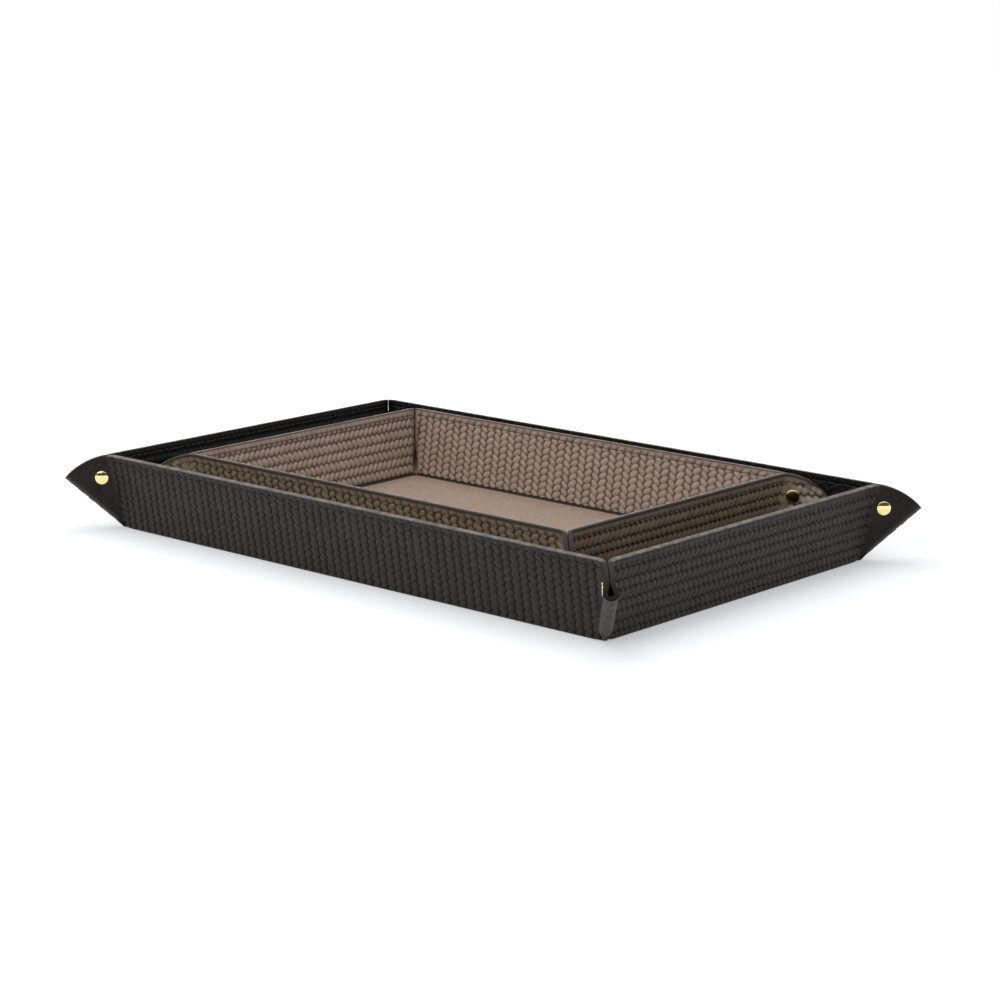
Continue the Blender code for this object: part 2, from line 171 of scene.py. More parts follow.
def seen_directly(tree):
    """1 for the rays that show the background to the camera, also by way of metal or glass."""
    path = add_node(tree, "ShaderNodeLightPath")
    shown = calculate(tree, "MAXIMUM", path.outputs["Is Camera Ray"], path.outputs["Is Glossy Ray"])
    return calculate(tree, "MAXIMUM", shown, path.outputs["Is Transmission Ray"])


world = bpy.data.worlds.new("white_room")
world.use_nodes = True
bpy.context.scene.world = world
sky_tree = world.node_tree
seen_sky = seen_directly(sky_tree)
sky_share = calculate(sky_tree, "MULTIPLY_ADD", seen_sky, 1 - SKY_STRENGTH, SKY_STRENGTH)
# Only what is reflected shows the dark side of the studio: a band above the floor, towards the front
towards = add_node(sky_tree, "ShaderNodeTexCoord").outputs["Generated"]
frontal = add_node(
    sky_tree, "ShaderNodeVectorMath", {0: towards, 1: DARK_SIDE_WAY}, operation="DOT_PRODUCT"
)
above = add_node(sky_tree, "ShaderNodeSeparateXYZ", {0: towards}).outputs["Z"]
in_front = spread(sky_tree, frontal.outputs["Value"], DARK_SIDE_FROM, DARK_SIDE_BY)
in_band = spread(sky_tree, above, DARK_SIDE_TOP - DARK_SIDE_FADE, DARK_SIDE_TOP, 1.0, 0.0)
glossy = add_node(sky_tree, "ShaderNodeLightPath").outputs["Is Glossy Ray"]
dark = calculate(sky_tree, "MULTIPLY", in_front, in_band)
dark = calculate(sky_tree, "MULTIPLY", dark, glossy)
dark = calculate(sky_tree, "MULTIPLY_ADD", dark, DARK_SIDE - 1, 1.0)
sky_inputs = {
    "Color": mixed(sky_tree, seen_sky, SKY_COLOUR, WHITE),
    "Strength": calculate(sky_tree, "MULTIPLY", sky_share, dark),
}
feed(sky_tree, sky_tree.nodes["Background"], sky_inputs)

floor_paint, floor_tree, floor_shader = new_material("white_sweep")
floor_place = add_node(floor_tree, "ShaderNodeTexCoord").outputs["Object"]
floor_reach = add_node(floor_tree, "ShaderNodeVectorMath", {0: floor_place}, operation="LENGTH")
floor_lift = spread(
    floor_tree,
    floor_reach.outputs["Value"],
    WHITE_FROM,
    WHITE_BY,
    FLOOR_LIFT,
    interpolation_type="SMOOTHSTEP",
)
floor_inputs = {
    "Base Color": FLOOR_COLOUR,
    "Roughness": 0.9,
    "Specular IOR Level": 0.0,
    "Emission Color": WHITE,
    "Emission Strength": calculate(floor_tree, "MULTIPLY", seen_directly(floor_tree), floor_lift),
}
feed(floor_tree, floor_shader, floor_inputs)
floor_form = bmesh.new()
bmesh.ops.create_grid(floor_form, x_segments=1, y_segments=1, size=FLOOR_SIZE / 2)
finished_piece("floor", floor_form, [floor_paint])

# The walls. Each wall is a board between two leathers that are pressed with a plait on their outer sides:
# the cover leather outside and the lining leather inside. The sheet leans outward from the base.
WALL_LEAN = math.radians(9.2)
COVER_DEPTH = 0.9 * MM
LINING_DEPTH = 0.8 * MM
WALL_FOOT = 1.2 * MM
EAR_HALF_DEPTH = 2.7 * MM
EAR_PLY_DEPTH = 2.5 * MM
HEEL_LIFT = 1.1 * MM
HEEL_REACH = 9 * MM
HEEL_HEIGHT = 12 * MM
CREASE_RADIUS = 8 * MM
FINE_STEP = 0.65 * MM
COARSE_STEP = 0.85 * MM
UNDERSIDE_STEP = 1.3 * MM
# Faces that meet at more than this are a cut edge of the leather
CUT_ANGLE = math.radians(65)
# Points of a piece nearer than this are one
WELD_REACH = 0.002 * MM
# The leather ends this far under the rim, where the painted edge covers it
RIM_LAP = 0.25 * MM

# The plait: its columns run along Y on the flat sheet. Leaves lean one way in the even columns and
# the other way in the odd ones. Each leaf has a lean, half its length and half its width.
COLUMN_PITCH = 6.3 * MM
LEAF_PITCH = 4.6 * MM
EVEN_LEAF = (math.radians(33), 3.8 * MM, 2.2 * MM)
ODD_LEAF = (math.radians(-43), 3.7 * MM, 2.05 * MM)
ODD_SHIFT_SHARE = 0.6
LEAF_ROUNDNESS = 2.2
LEAF_FULLNESS = 0.6
LEAF_EDGE_SHARE = 0.5
LEAF_PROUD = 0.15 * MM
# How unlike the leaves are: in their lean, in radians, and in their size, as a share of it
LEAN_SCATTER = 0.16
SIZE_SCATTER = 0.12
PLAIT_RELIEF = 0.84 * MM
# How deep the groove between two leaves of a column is, beside the one between two columns
LEAF_SPLIT_SHARES = {"cover": 0.8, "lining": 1.0}

# The stitches run round every rim. The thread lies in a row of holes, in a shallow seam groove.
STITCH_BELOW_RIM = 4.4 * MM
STITCH_PITCH = 6 * MM
STITCH_HOLE_RADIUS = 0.7 * MM
STITCH_HOLE_SHARES = (0.35, 1.25)
STITCH_HOLE_DEPTH = 0.5 * MM
SEAM_BED = 0.2 * MM
SEAM_REACH = 1.1 * MM
SEAM_DEPTH_SHARE = 0.25
RIM_BAND = 4 * MM
RIM_BAND_SHARES = (0.4, 1.2)
RIM_CALM = 0.55
# How much leather is left under the deepest mark
LEATHER_FLOOR = 0.1 * MM
# How deep the leather's own fine grain is
GRAIN_DEPTH = 0.12 * MM
# How far up from the floor the foot of the lining is darkened with painted shade, where it meets the floor
FLOOR_SHADE_HEIGHT = 0.9 * MM
FLOOR_SHADE_FULL_SHARE = 0.6
# How dark the painted shade under each tray's rim is, and between which depths below the rim it fades
UNDER_RIM_SHADES = {"outer": 0.0, "inner": 0.85}
UNDER_RIM_SHADE_FROM = 1 * MM
UNDER_RIM_SHADE_BY = 1.9 * MM

UP = np.array((0.0, 0.0, 1.0))
SHEET_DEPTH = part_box("outer_base_lining")[1].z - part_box("outer_base_cover")[0].z
WALL_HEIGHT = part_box("outer_front_wall_lining")[1].z - SHEET_DEPTH * math.sin(WALL_LEAN)
WALL_SLANT = WALL_HEIGHT / math.cos(WALL_LEAN)
CREASE_TILT = math.atan(math.sin(WALL_LEAN))
PLY_ANGLE = math.pi / 4 - CREASE_TILT
# Each wall: which way it runs and which way it faces
SIDES = {
    "front": (np.array((-1.0, 0, 0)), np.array((0, -1.0, 0))),
    "back": (np.array((1.0, 0, 0)), np.array((0, 1.0, 0))),
    "right": (np.array((0, -1.0, 0)), np.array((1.0, 0, 0))),
    "left": (np.array((0, 1.0, 0)), np.array((-1.0, 0, 0))),
}


def unit(vector):
    return vector / np.linalg.norm(vector)


def ramp(low, high, x):
    """0 below low, 1 above high, and a smooth rise between them."""
    t = np.clip((x - low) / (high - low), 0, 1)
    return t * t * (3 - 2 * t)


def chance(first, second):
    """A fixed scatter of numbers from 0 to 1, one for each pair of whole numbers."""
    wave = np.sin(first * 12.9898 + second * 78.233) * 43758.5453
    return wave - np.floor(wave)


def plait(x, y, split):
    """The pressed plait at a place on the flat sheet: its height, the painted shade in its grooves and its
    leaves' tone, 0 to 1.
    """
    best = np.zeros_like(x)
    tone = np.full_like(x, 0.5)
    column = np.floor(x / COLUMN_PITCH)
    for column_step in (-1, 0, 1):
        here = column + column_step
        even = here % 2 == 0
        lean = np.where(even, EVEN_LEAF[0], ODD_LEAF[0])
        half_length = np.where(even, EVEN_LEAF[1], ODD_LEAF[1])
        half_width = np.where(even, EVEN_LEAF[2], ODD_LEAF[2])
        shift = np.where(even, 0.0, ODD_SHIFT_SHARE * LEAF_PITCH)
        nearest = np.round((y - shift) / LEAF_PITCH)
        for leaf_step in (-1, 0, 1):
            leaf = nearest + leaf_step
            luck = chance(here, leaf)
            turn = lean + LEAN_SCATTER * (luck - 0.5)
            over = x - (here + 0.5) * COLUMN_PITCH
            along = y - leaf * LEAF_PITCH - shift
            long_way = over * np.cos(turn) + along * np.sin(turn)
            short_way = along * np.cos(turn) - over * np.sin(turn)
            swell = 1 - SIZE_SCATTER / 2 + SIZE_SCATTER * chance(leaf, here)
            reach = (np.abs(long_way) / (half_length * swell)) ** LEAF_ROUNDNESS
            reach = reach + split * (np.abs(short_way) / (half_width * swell)) ** LEAF_ROUNDNESS
            height = np.clip(1 - reach, 0, 1)
            taller = height > best
            best = np.where(taller, height, best)
            tone = np.where(taller, luck, tone)
    return best**LEAF_FULLNESS, 1 - ramp(0.0, LEAF_EDGE_SHARE, best), tone


class Corner:
    """The lines and directions that one pinched corner of a tray is built on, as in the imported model."""

    def __init__(self, tray, side_x, side_y):
        self.tray = tray
        self.long_wall = "back" if side_y > 0 else "front"
        self.short_wall = "right" if side_x > 0 else "left"
        self.name = self.long_wall + "_" + self.short_wall
        self.point = np.array((side_x * tray.length / 2, side_y * tray.width / 2, tray.height))
        self.out_x = np.array((float(side_x), 0, 0))
        self.out_y = np.array((0, float(side_y), 0))
        self.outward = unit(self.out_x + self.out_y)
        self.long_side = unit(self.out_y - self.out_x)
        slant = math.sin(WALL_LEAN) * self.out_y + math.cos(WALL_LEAN) * UP
        self.crease = math.cos(CREASE_TILT) * slant + math.sin(CREASE_TILT) * self.out_x
        fold_rise = math.atan2(self.crease[2], self.crease @ self.outward) - PLY_ANGLE
        self.fold = math.cos(fold_rise) * self.outward + math.sin(fold_rise) * UP
        self.across = -math.sin(fold_rise) * self.outward + math.cos(fold_rise) * UP
        self.off_crease = unit(self.fold - (self.fold @ self.crease) * self.crease)
        along_wall = unit(self.out_x - (self.out_x @ self.crease) * self.crease)
        self.turn = math.acos(along_wall @ self.off_crease)
        self.inset = EAR_HALF_DEPTH / math.sin(self.turn)
        # How far the crease's line passes from the base corner, seen square to the ear
        self.offset = self.inset * math.cos(self.turn)


class Tray:
    def __init__(self, name):
        self.name = name
        low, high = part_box(name + "_base_cover")
        self.length = high.x - low.x
        self.width = high.y - low.y
        self.height = low.z
        self.corners = [Corner(self, x, y) for y in (-1, 1) for x in (-1, 1)]

    def body(self, part):
        """The moving body that carries a part. The inner tray moves as one."""
        return part if self.name == "outer" else "inner_tray"


def heeled(places, tray, weight=1.0):
    """The places with the foot of the sheet drawn up a little towards the base's corners."""
    away = np.hypot(np.abs(places[:, 0]) - tray.length / 2, np.abs(places[:, 1]) - tray.width / 2)
    up = places[:, 2] - tray.height
    lift = HEEL_LIFT * (1 - ramp(0, HEEL_REACH, away)) * (1 - ramp(0, HEEL_HEIGHT, up)) * weight
    return places + np.outer(lift, UP)


class Wall:
    """One wall's sheet. u runs from -1 to 1 between its creases, and t up the wall from the base's edge."""

    def __init__(self, tray, side):
        self.tray = tray
        self.side = side
        self.along, self.outward = SIDES[side]
        on_long_side = side in ("front", "back")
        self.half_edge = (tray.length if on_long_side else tray.width) / 2
        self.reach = (tray.width if on_long_side else tray.length) / 2
        self.slant = math.sin(WALL_LEAN) * self.outward + math.cos(WALL_LEAN) * UP
        self.normal = math.cos(WALL_LEAN) * self.outward - math.sin(WALL_LEAN) * UP
        corner = tray.corners[0]
        tangent = CREASE_RADIUS * math.tan(corner.turn / 2)
        self.end = self.half_edge - (corner.inset + tangent) / math.cos(CREASE_TILT)
        self.low = WALL_FOOT
        self.length = 2 * (self.end + WALL_SLANT * math.tan(CREASE_TILT))

    def depth(self, u):
        return np.full_like(u, SHEET_DEPTH)

    def across(self, u, t):
        return u * (self.end + t * math.tan(CREASE_TILT))

    def at(self, u, t, inward):
        """The place at u and t, that deep below the outer face."""
        s = self.across(u, t)
        origin = self.outward * self.reach + UP * self.tray.height
        place = origin + np.outer(s, self.along) + np.outer(t, self.slant)
        return heeled(place - np.outer(inward, self.normal), self.tray)

    def on_sheet(self, u, t):
        """The same place on the flat sheet."""
        flat = np.outer(self.across(u, t), self.along) + np.outer(self.reach + t, self.outward)
        return flat[:, 0], flat[:, 1]

    def along_rim(self, u):
        return self.across(u, np.full_like(u, WALL_SLANT))

    def wear_at(self, u):
        """How much painted highlight the rim's painted edge has."""
        return np.ones_like(u)


def shaped_piece(name, columns, rows, shape, materials, back="flat", weld=False):
    """A piece made from a flat grid, which shape bends into place.

    shape takes each point's u, v and layer, all from 0 to 1, and gives its place and its attributes. The
    layer is 0 on the grid and 1 on the back that closes the piece. back is "flat" for one face, "grid" for
    a second grid, or None for a piece whose own edges meet.
    """
    form = bmesh.new()
    bmesh.ops.create_grid(form, x_segments=columns, y_segments=rows, size=1)
    if back == "grid":
        made = bmesh.ops.extrude_face_region(form, geom=form.faces[:])
        lifted = [part for part in made["geom"] if isinstance(part, bmesh.types.BMVert)]
        bmesh.ops.translate(form, verts=lifted, vec=(0, 0, 1))
        # The lifted grid is the outer face. The back and the edges take the second material
        for face in form.faces:
            face.material_index = 1 if face.calc_center_median().z < 0.9 else 0
    for face in form.faces:
        face.smooth = True
    if back == "flat":
        edges = [edge for edge in form.edges if edge.is_boundary]
        made = bmesh.ops.extrude_edge_only(form, edges=edges)
        lowered = [part for part in made["geom"] if isinstance(part, bmesh.types.BMVert)]
        bmesh.ops.translate(form, verts=lowered, vec=(0, 0, -1))
        bmesh.ops.edgeloop_fill(form, edges=[edge for edge in form.edges if edge.is_boundary])
    flat = np.array([vert.co[:] for vert in form.verts])
    u = (flat[:, 0] + 1) / 2
    v = (flat[:, 1] + 1) / 2
    layer = np.abs(flat[:, 2]) if back == "flat" else 1 - flat[:, 2]
    if back is None:
        layer = np.zeros_like(u)
    places, values = shape(u, v, layer)
    layers = {key: form.verts.layers.float.new(key) for key in values}
    sheet_layer = form.verts.layers.float_vector.new("sheet")
    for index, (vert, place) in enumerate(zip(form.verts, places.tolist())):
        vert.co = place
        vert[sheet_layer] = place
        for key, held in layers.items():
            vert[held] = values[key][index]
    if weld:
        bmesh.ops.remove_doubles(form, verts=form.verts, dist=WELD_REACH)
    open_edges = [edge for edge in form.edges if edge.is_boundary]
    if open_edges:
        bmesh.ops.holes_fill(form, edges=open_edges, sides=0)
    bmesh.ops.recalc_face_normals(form, faces=form.faces)
    piece = finished_piece(name, form, materials)
    piece.data.set_sharp_from_angle(angle=CUT_ANGLE)
    return piece


def stitch_holes(along, below):
    """How deep the stitch holes are at a place, 0 to 1, from its place along the rim and below it."""
    nearest = np.round(along / STITCH_PITCH) * STITCH_PITCH
    away = np.hypot(along - nearest, below - STITCH_BELOW_RIM)
    full, faded = (share * STITCH_HOLE_RADIUS for share in STITCH_HOLE_SHARES)
    return 1 - ramp(full, faded, away)


def pressed(x, y, along, below, smooth, layer="cover", relief=1.0, under_rim_shade=0.0):
    """The pressed surface: how proud it stands, and the masks that its leather is coloured by."""
    height, groove, tone = plait(x, y, LEAF_SPLIT_SHARES[layer])
    band = 1 - ramp(RIM_BAND_SHARES[0] * RIM_BAND, RIM_BAND_SHARES[1] * RIM_BAND, below)
    calm = (1 - RIM_CALM * band) * (1 - smooth) * relief
    seam = 1 - ramp(SEAM_BED, SEAM_REACH, np.abs(below - STITCH_BELOW_RIM))
    holes = stitch_holes(along, below)
    proud = LEAF_PROUD - PLAIT_RELIEF * (1 - height) * calm - SEAM_DEPTH_SHARE * PLAIT_RELIEF * seam * calm
    proud = proud - STITCH_HOLE_DEPTH * holes
    # Painted shade in a dark line just under the rim
    under_rim = under_rim_shade * (1 - ramp(UNDER_RIM_SHADE_FROM, UNDER_RIM_SHADE_BY, below))
    # The first mask is painted shade: in the plait's grooves, in the stitch holes and under the rim
    values = {
        "groove": np.clip(np.maximum(groove * calm, np.maximum(holes, under_rim)), 0, 1),
        "tone": tone * (1 - smooth) + 0.5 * smooth,
        "crown": height * calm,
        "rubbed": smooth,
    }
    return proud, values


trays = {name: Tray(name) for name in ("outer", "inner")}


def noise(tree, place, scale, **inputs):
    """The output of a Noise Texture node."""
    return add_node(tree, "ShaderNodeTexNoise", {"Vector": place, "Scale": scale, **inputs}).outputs["Fac"]


def grain_group():
    """Leather grain: a fine pebble for the height, and a slow mottling for the colour."""
    group = bpy.data.node_groups.new("leather_grain", "ShaderNodeTree")
    group.interface.new_socket("Place", in_out="INPUT", socket_type="NodeSocketVector")
    group.interface.new_socket("Height", in_out="OUTPUT", socket_type="NodeSocketFloat")
    group.interface.new_socket("Mottle", in_out="OUTPUT", socket_type="NodeSocketFloat")
    source = add_node(group, "NodeGroupInput").outputs["Place"]
    pores = add_node(group, "ShaderNodeTexVoronoi", {"Vector": source, "Scale": 1500.0})
    fibres = noise(group, source, 900.0, Detail=3.0)
    pebble = calculate(group, "MULTIPLY_ADD", pores.outputs["Distance"], -0.6, fibres)
    clouds = noise(group, source, 60.0, Detail=4.0)
    add_node(group, "NodeGroupOutput", {"Height": pebble, "Mottle": clouds})
    return group


leather_grain = grain_group()


def grain_at(tree, place):
    """The leather grain's height and mottling, by name, at a place."""
    return add_node(tree, "ShaderNodeGroup", {"Place": place}, node_tree=leather_grain).outputs


def mask(tree, name):
    """One of the masks that a piece's leather carries."""
    return add_node(tree, "ShaderNodeAttribute", attribute_name=name).outputs["Fac"]


def place_on_sheet(tree):
    """The place that a piece's leather carries, which stays with it when a joint bends it."""
    return add_node(tree, "ShaderNodeAttribute", attribute_name="sheet").outputs["Vector"]


def fine_relief(tree, height, strength, distance):
    """The normal of relief that is finer than the mesh."""
    inputs = {"Strength": strength, "Distance": distance, "Height": height}
    return add_node(tree, "ShaderNodeBump", inputs).outputs["Normal"]


def embossed_leather(name, colour, groove, pale, rubbed, roughness, specular):
    """Pressed leather: painted shade in its grooves, leaves of slightly unlike tone, paler crowns, rubbed
    smooth folds and painted light on the inner ears' crowns.
    """
    material, tree, shader = new_material(name)
    grain = grain_at(tree, place_on_sheet(tree))
    tone = calculate(tree, "MULTIPLY", mask(tree, "tone"), 0.5)
    tone = calculate(tree, "MULTIPLY_ADD", grain["Mottle"], 0.9, tone)
    tone = calculate(tree, "SUBTRACT", tone, 0.35)
    leaf = mixed(tree, tone, (*colour, 1), (*pale, 1))
    worn = calculate(tree, "MULTIPLY", mask(tree, "crown"), 0.4)
    leaf = mixed(tree, worn, leaf, (*pale, 1))
    # Pale rubbed folds, and painted light on the inner ears' crowns
    leaf = mixed(tree, mask(tree, "rubbed"), leaf, (*rubbed, 1))
    # Painted shade: grooves and holes are mixed towards their dark colour
    deep = calculate(tree, "MULTIPLY", mask(tree, "groove"), 0.92)
    rough = calculate(tree, "MULTIPLY_ADD", grain["Mottle"], 0.16, roughness - 0.08)
    inputs = {
        "Base Color": mixed(tree, deep, leaf, (*groove, 1)),
        "Roughness": calculate(tree, "MULTIPLY_ADD", mask(tree, "groove"), 0.2, rough),
        "Specular IOR Level": specular,
        "Normal": fine_relief(tree, grain["Height"], 0.35, GRAIN_DEPTH),
    }
    feed(tree, shader, inputs)
    return material


COVERS = {
    "outer": embossed_leather(
        "dark_cover", (0.0215, 0.0155, 0.0138), (0.001, 0.0008, 0.0007), (0.05, 0.0375, 0.034),
        (0.065, 0.054, 0.049), 0.42, 0.18,
    ),
    "inner": embossed_leather(
        "taupe_cover", (0.24, 0.167, 0.106), (0.02, 0.0135, 0.009), (0.42, 0.305, 0.205),
        (0.52, 0.43, 0.345), 0.42, 0.35,
    ),
}
LININGS = {
    "outer": embossed_leather(
        "dark_lining", (0.0045, 0.004, 0.0036), (0.002, 0.0018, 0.0016), (0.009, 0.008, 0.0075),
        (0.01, 0.009, 0.0085), 0.45, 0.15,
    ),
    "inner": embossed_leather(
        "taupe_lining", (0.325, 0.235, 0.182), (0.085, 0.053, 0.039), (0.47, 0.357, 0.287),
        (0.3, 0.22, 0.175), 0.42, 0.4,
    ),
}


def leather_panel(name, wall, layer, step):
    """The cover or the lining of one wall, with the plait pressed into its own outer side."""
    tray = wall.tray
    top = WALL_SLANT - RIM_LAP
    face = 0.0 if layer == "cover" else SHEET_DEPTH
    back = COVER_DEPTH if layer == "cover" else SHEET_DEPTH - LINING_DEPTH
    side = 1 if layer == "cover" else -1

    def shape(u, v, under):
        across = 2 * u - 1
        t = wall.low + v * (top - wall.low)
        x, y = wall.on_sheet(across, t)
        rim = wall.along_rim(across)
        nowhere = np.zeros_like(across)
        proud, values = pressed(x, y, rim, WALL_SLANT - t, nowhere, layer, 1.0, UNDER_RIM_SHADES[tray.name])
        proud = np.maximum(proud, LEATHER_FLOOR - abs(face - back))
        if layer == "lining":
            # Painted shade along the foot of the lining, ragged with the plait
            floor_shade_reach = FLOOR_SHADE_HEIGHT * (1 + values["groove"])
            floor_shade = 1 - ramp(FLOOR_SHADE_FULL_SHARE * floor_shade_reach, floor_shade_reach, t - SHEET_DEPTH)
            values["groove"] = np.maximum(values["groove"], floor_shade)
        inward = np.where(under > 0.5, back, face - side * proud)
        return wall.at(across, t, inward), values

    columns = round(wall.length / step)
    rows = round((top - wall.low) / step)
    material = (COVERS if layer == "cover" else LININGS)[tray.name]
    piece = shaped_piece(name, columns, rows, shape, [material])
    return piece


for tray in trays.values():
    for side in SIDES:
        wall = Wall(tray, side)
        for layer in ("cover", "lining"):
            hidden = tray.name == "outer" and layer == "lining"
            node = "%s_%s_wall_%s" % (tray.name, side, layer)
            piece = leather_panel(node + "_leather", wall, layer, COARSE_STEP if hidden else FINE_STEP)
            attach(piece, tray.body("outer_%s_wall" % side))
            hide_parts(node)

# The ears. At each corner the sheet is pinched into a doubled ear, with a smooth round fold at its foot
# that the press rubbed pale. A rounded crease joins each ply of the ear to its wall.
EAR_STEP = 0.75 * MM
# How much of the plait's depth is left on the ears, and how much painted shade darkens the outer ears and
# their creases
EAR_RELIEF_SHARES = {"outer": 0.3, "inner": 1.0}
EAR_SHADES = {"outer": 0.5, "inner": 0.0}
SEAM_RELIEF_SHARE = 0.12
# How much paler painted light makes the crowns of the leaves there, on the inner ears
EAR_PAINTED_LIGHT = {"outer": 0.0, "inner": 0.85}
# Between which shares of the crease, from wall to ply, the plait calms, the ear's painted shade and painted
# light come in and the rim's painted highlight goes out. The ply's shares run from the fold to the crease,
# where its plait becomes the crease's.
CREASE_CALM_SHARES = (0.2, 1.0)
CREASE_SHADE_SHARES = (0.2, 0.7)
CREASE_HIGHLIGHT_SHARES = (0.15, 0.7)
PLY_CALM_SHARES = (0.8, 1.0)
TOE_START = 1.1 * MM
TOE_RISE_SHARE = 0.09
TOE_ROWS = 6
# How far in from the base's corner the toe is drawn together, and how thick it is there
TOE_REACH = 4.6 * MM
TOE_DEPTH = 1.6 * MM
FOLD_RADIUS = 4.2 * MM
FOLD_LIFT = 1.2 * MM
FOLD_NECK = 13 * MM
FOLD_NECK_RUN = 1 * MM
FOLD_TURN_STEPS = 25
# Where the two bodies of an ear meet, on either side of its middle
FOLD_HINGE_REACH = 0.15 * MM
# The ply's edge stays this far above the fold's foot: on its line, and in the ear's plane
EDGE_LEAST_RISE = 0.01 * MM
PLANE_LEAST_RISE = 0.3 * MM
FOLD_SMOOTH_SHARES = (0.75, 1.3)
FOLD_SMOOTH_WIDTH = 5.2 * MM
RIPPLE_DEPTH = 0.28 * MM
RIPPLE_PITCH = 1.3 * MM
SNAP_POCKET_RADIUS = 3.7 * MM
SNAP_POCKET_DEPTH = 1.6 * MM


def fold_line():
    """The ear's outer face in a cut square to the fold: round the bulb, in at the neck and straight on.

    It is given as places across the fold and through the ear, and the length of leather up to each.
    """
    turns = np.linspace(0, math.pi / 2, FOLD_TURN_STEPS)
    shares = np.linspace(0, 1, FOLD_TURN_STEPS)[1:]
    middle = FOLD_LIFT + FOLD_RADIUS
    pinched = (1 + np.cos(math.pi * shares)) / 2
    across = np.concatenate((middle - FOLD_RADIUS * np.cos(turns), middle + (FOLD_NECK - middle) * shares))
    through = np.concatenate(
        (FOLD_RADIUS * np.sin(turns), EAR_HALF_DEPTH + (FOLD_RADIUS - EAR_HALF_DEPTH) * pinched)
    )
    across = np.append(across, (FOLD_NECK + FOLD_NECK_RUN, 2 * WALL_SLANT))
    through = np.append(through, (EAR_HALF_DEPTH, EAR_HALF_DEPTH))
    arc = np.concatenate(([0], np.cumsum(np.hypot(np.diff(across), np.diff(through)))))
    return arc, across, through


FOLD_ARC, FOLD_ACROSS, FOLD_THROUGH = fold_line()
# Which way the leather runs along that line: how fast it rises across the fold, and how fast it opens
FOLD_RISING = np.gradient(FOLD_ACROSS, FOLD_ARC)
FOLD_OPENING = np.gradient(FOLD_THROUGH, FOLD_ARC)


class Crease:
    """The rounded bend between a wall and its ply. u runs from the wall to the ply, and t up the crease."""

    def __init__(self, ear, on_long_side, part=(0.0, 1.0)):
        corner = ear.corner
        self.tray = corner.tray
        self.ear = ear
        self.part = part
        self.on_long_side = on_long_side
        outward = corner.out_y if on_long_side else corner.out_x
        onward = corner.out_x if on_long_side else corner.out_y
        self.corner = corner
        self.wall_normal = math.cos(WALL_LEAN) * outward - math.sin(WALL_LEAN) * UP
        self.ply_normal = corner.long_side * (1 if on_long_side else -1)
        along_wall = unit(onward - (onward @ corner.crease) * corner.crease)
        self.apex = corner.point - along_wall * corner.inset
        self.bisector = unit(corner.off_crease - along_wall)
        self.half_turn = corner.turn / 2
        self.tangent = CREASE_RADIUS * math.tan(self.half_turn)
        self.outward = outward
        self.onward = onward
        self.low = WALL_FOOT
        self.length = (part[1] - part[0]) * (CREASE_RADIUS + SHEET_DEPTH) * corner.turn

    def share(self, u):
        return self.part[0] + (u + 1) / 2 * (self.part[1] - self.part[0])

    def depth(self, u):
        return SHEET_DEPTH + (EAR_PLY_DEPTH - SHEET_DEPTH) * self.share(u)

    def relief_at(self, u):
        return 1 + (SEAM_RELIEF_SHARE - 1) * ramp(*CREASE_CALM_SHARES, self.share(u))

    def shade_at(self, u):
        return EAR_SHADES[self.tray.name] * ramp(*CREASE_SHADE_SHARES, self.share(u))

    def painted_light_at(self, u):
        return EAR_PAINTED_LIGHT[self.tray.name] * ramp(*CREASE_SHADE_SHARES, self.share(u))

    def wear_at(self, u):
        return 1 - ramp(*CREASE_HIGHLIGHT_SHARES, self.share(u))

    def height(self, u, t):
        """How far up the crease's line a place is. The rim's end of it climbs a little towards the ply."""
        wall_start = self.corner.inset * math.sin(CREASE_TILT) + self.tangent * math.sin(CREASE_TILT)
        wall_rim = (WALL_SLANT - wall_start) / math.cos(CREASE_TILT)
        foot = (self.low - wall_start) / math.cos(CREASE_TILT)
        ply_rim = math.sqrt(WALL_SLANT**2 - self.ear.offset**2)
        rim = wall_rim + (ply_rim - wall_rim) * self.share(u)
        return foot + (rim - foot) * (t - self.low) / (WALL_SLANT - self.low)

    def bend(self, share, height, inward):
        turned = 2 * self.half_turn * share
        spare = np.sin(2 * self.half_turn)
        normal = np.outer(np.sin(2 * self.half_turn - turned), self.wall_normal)
        normal = (normal + np.outer(np.sin(turned), self.ply_normal)) / spare
        centre = self.apex + self.bisector * (CREASE_RADIUS / math.cos(self.half_turn))
        centre = centre + np.outer(height, self.corner.crease)
        return centre - normal * (CREASE_RADIUS + inward)[:, None]

    def at(self, u, t, inward):
        share = self.share(u)
        height = self.height(u, t)
        place = heeled(self.bend(share, height, inward), self.tray, 1 - share)
        # Near its foot the ply is drawn into the round fold, and the crease follows the ply's own edge
        edge = self.bend(np.ones_like(u), height, inward)
        sign = -1.0 if self.on_long_side else 1.0
        wanted = self.ear.at_edge(sign, height, inward)
        return place + (wanted - edge) * ramp(0, 1, share)[:, None]

    def on_sheet(self, u, t):
        away = (2 * self.share(u) - 1) * self.tangent - self.corner.inset
        height = self.height(u, t)
        along = away * math.cos(CREASE_TILT) + height * math.sin(CREASE_TILT)
        up = height * math.cos(CREASE_TILT) - away * math.sin(CREASE_TILT)
        flat = np.outer(along, self.onward) + np.outer(up, self.outward)
        flat = flat + self.corner.point
        return flat[:, 0], flat[:, 1]

    def along_rim(self, u):
        return self.share(u) * 2 * self.tangent


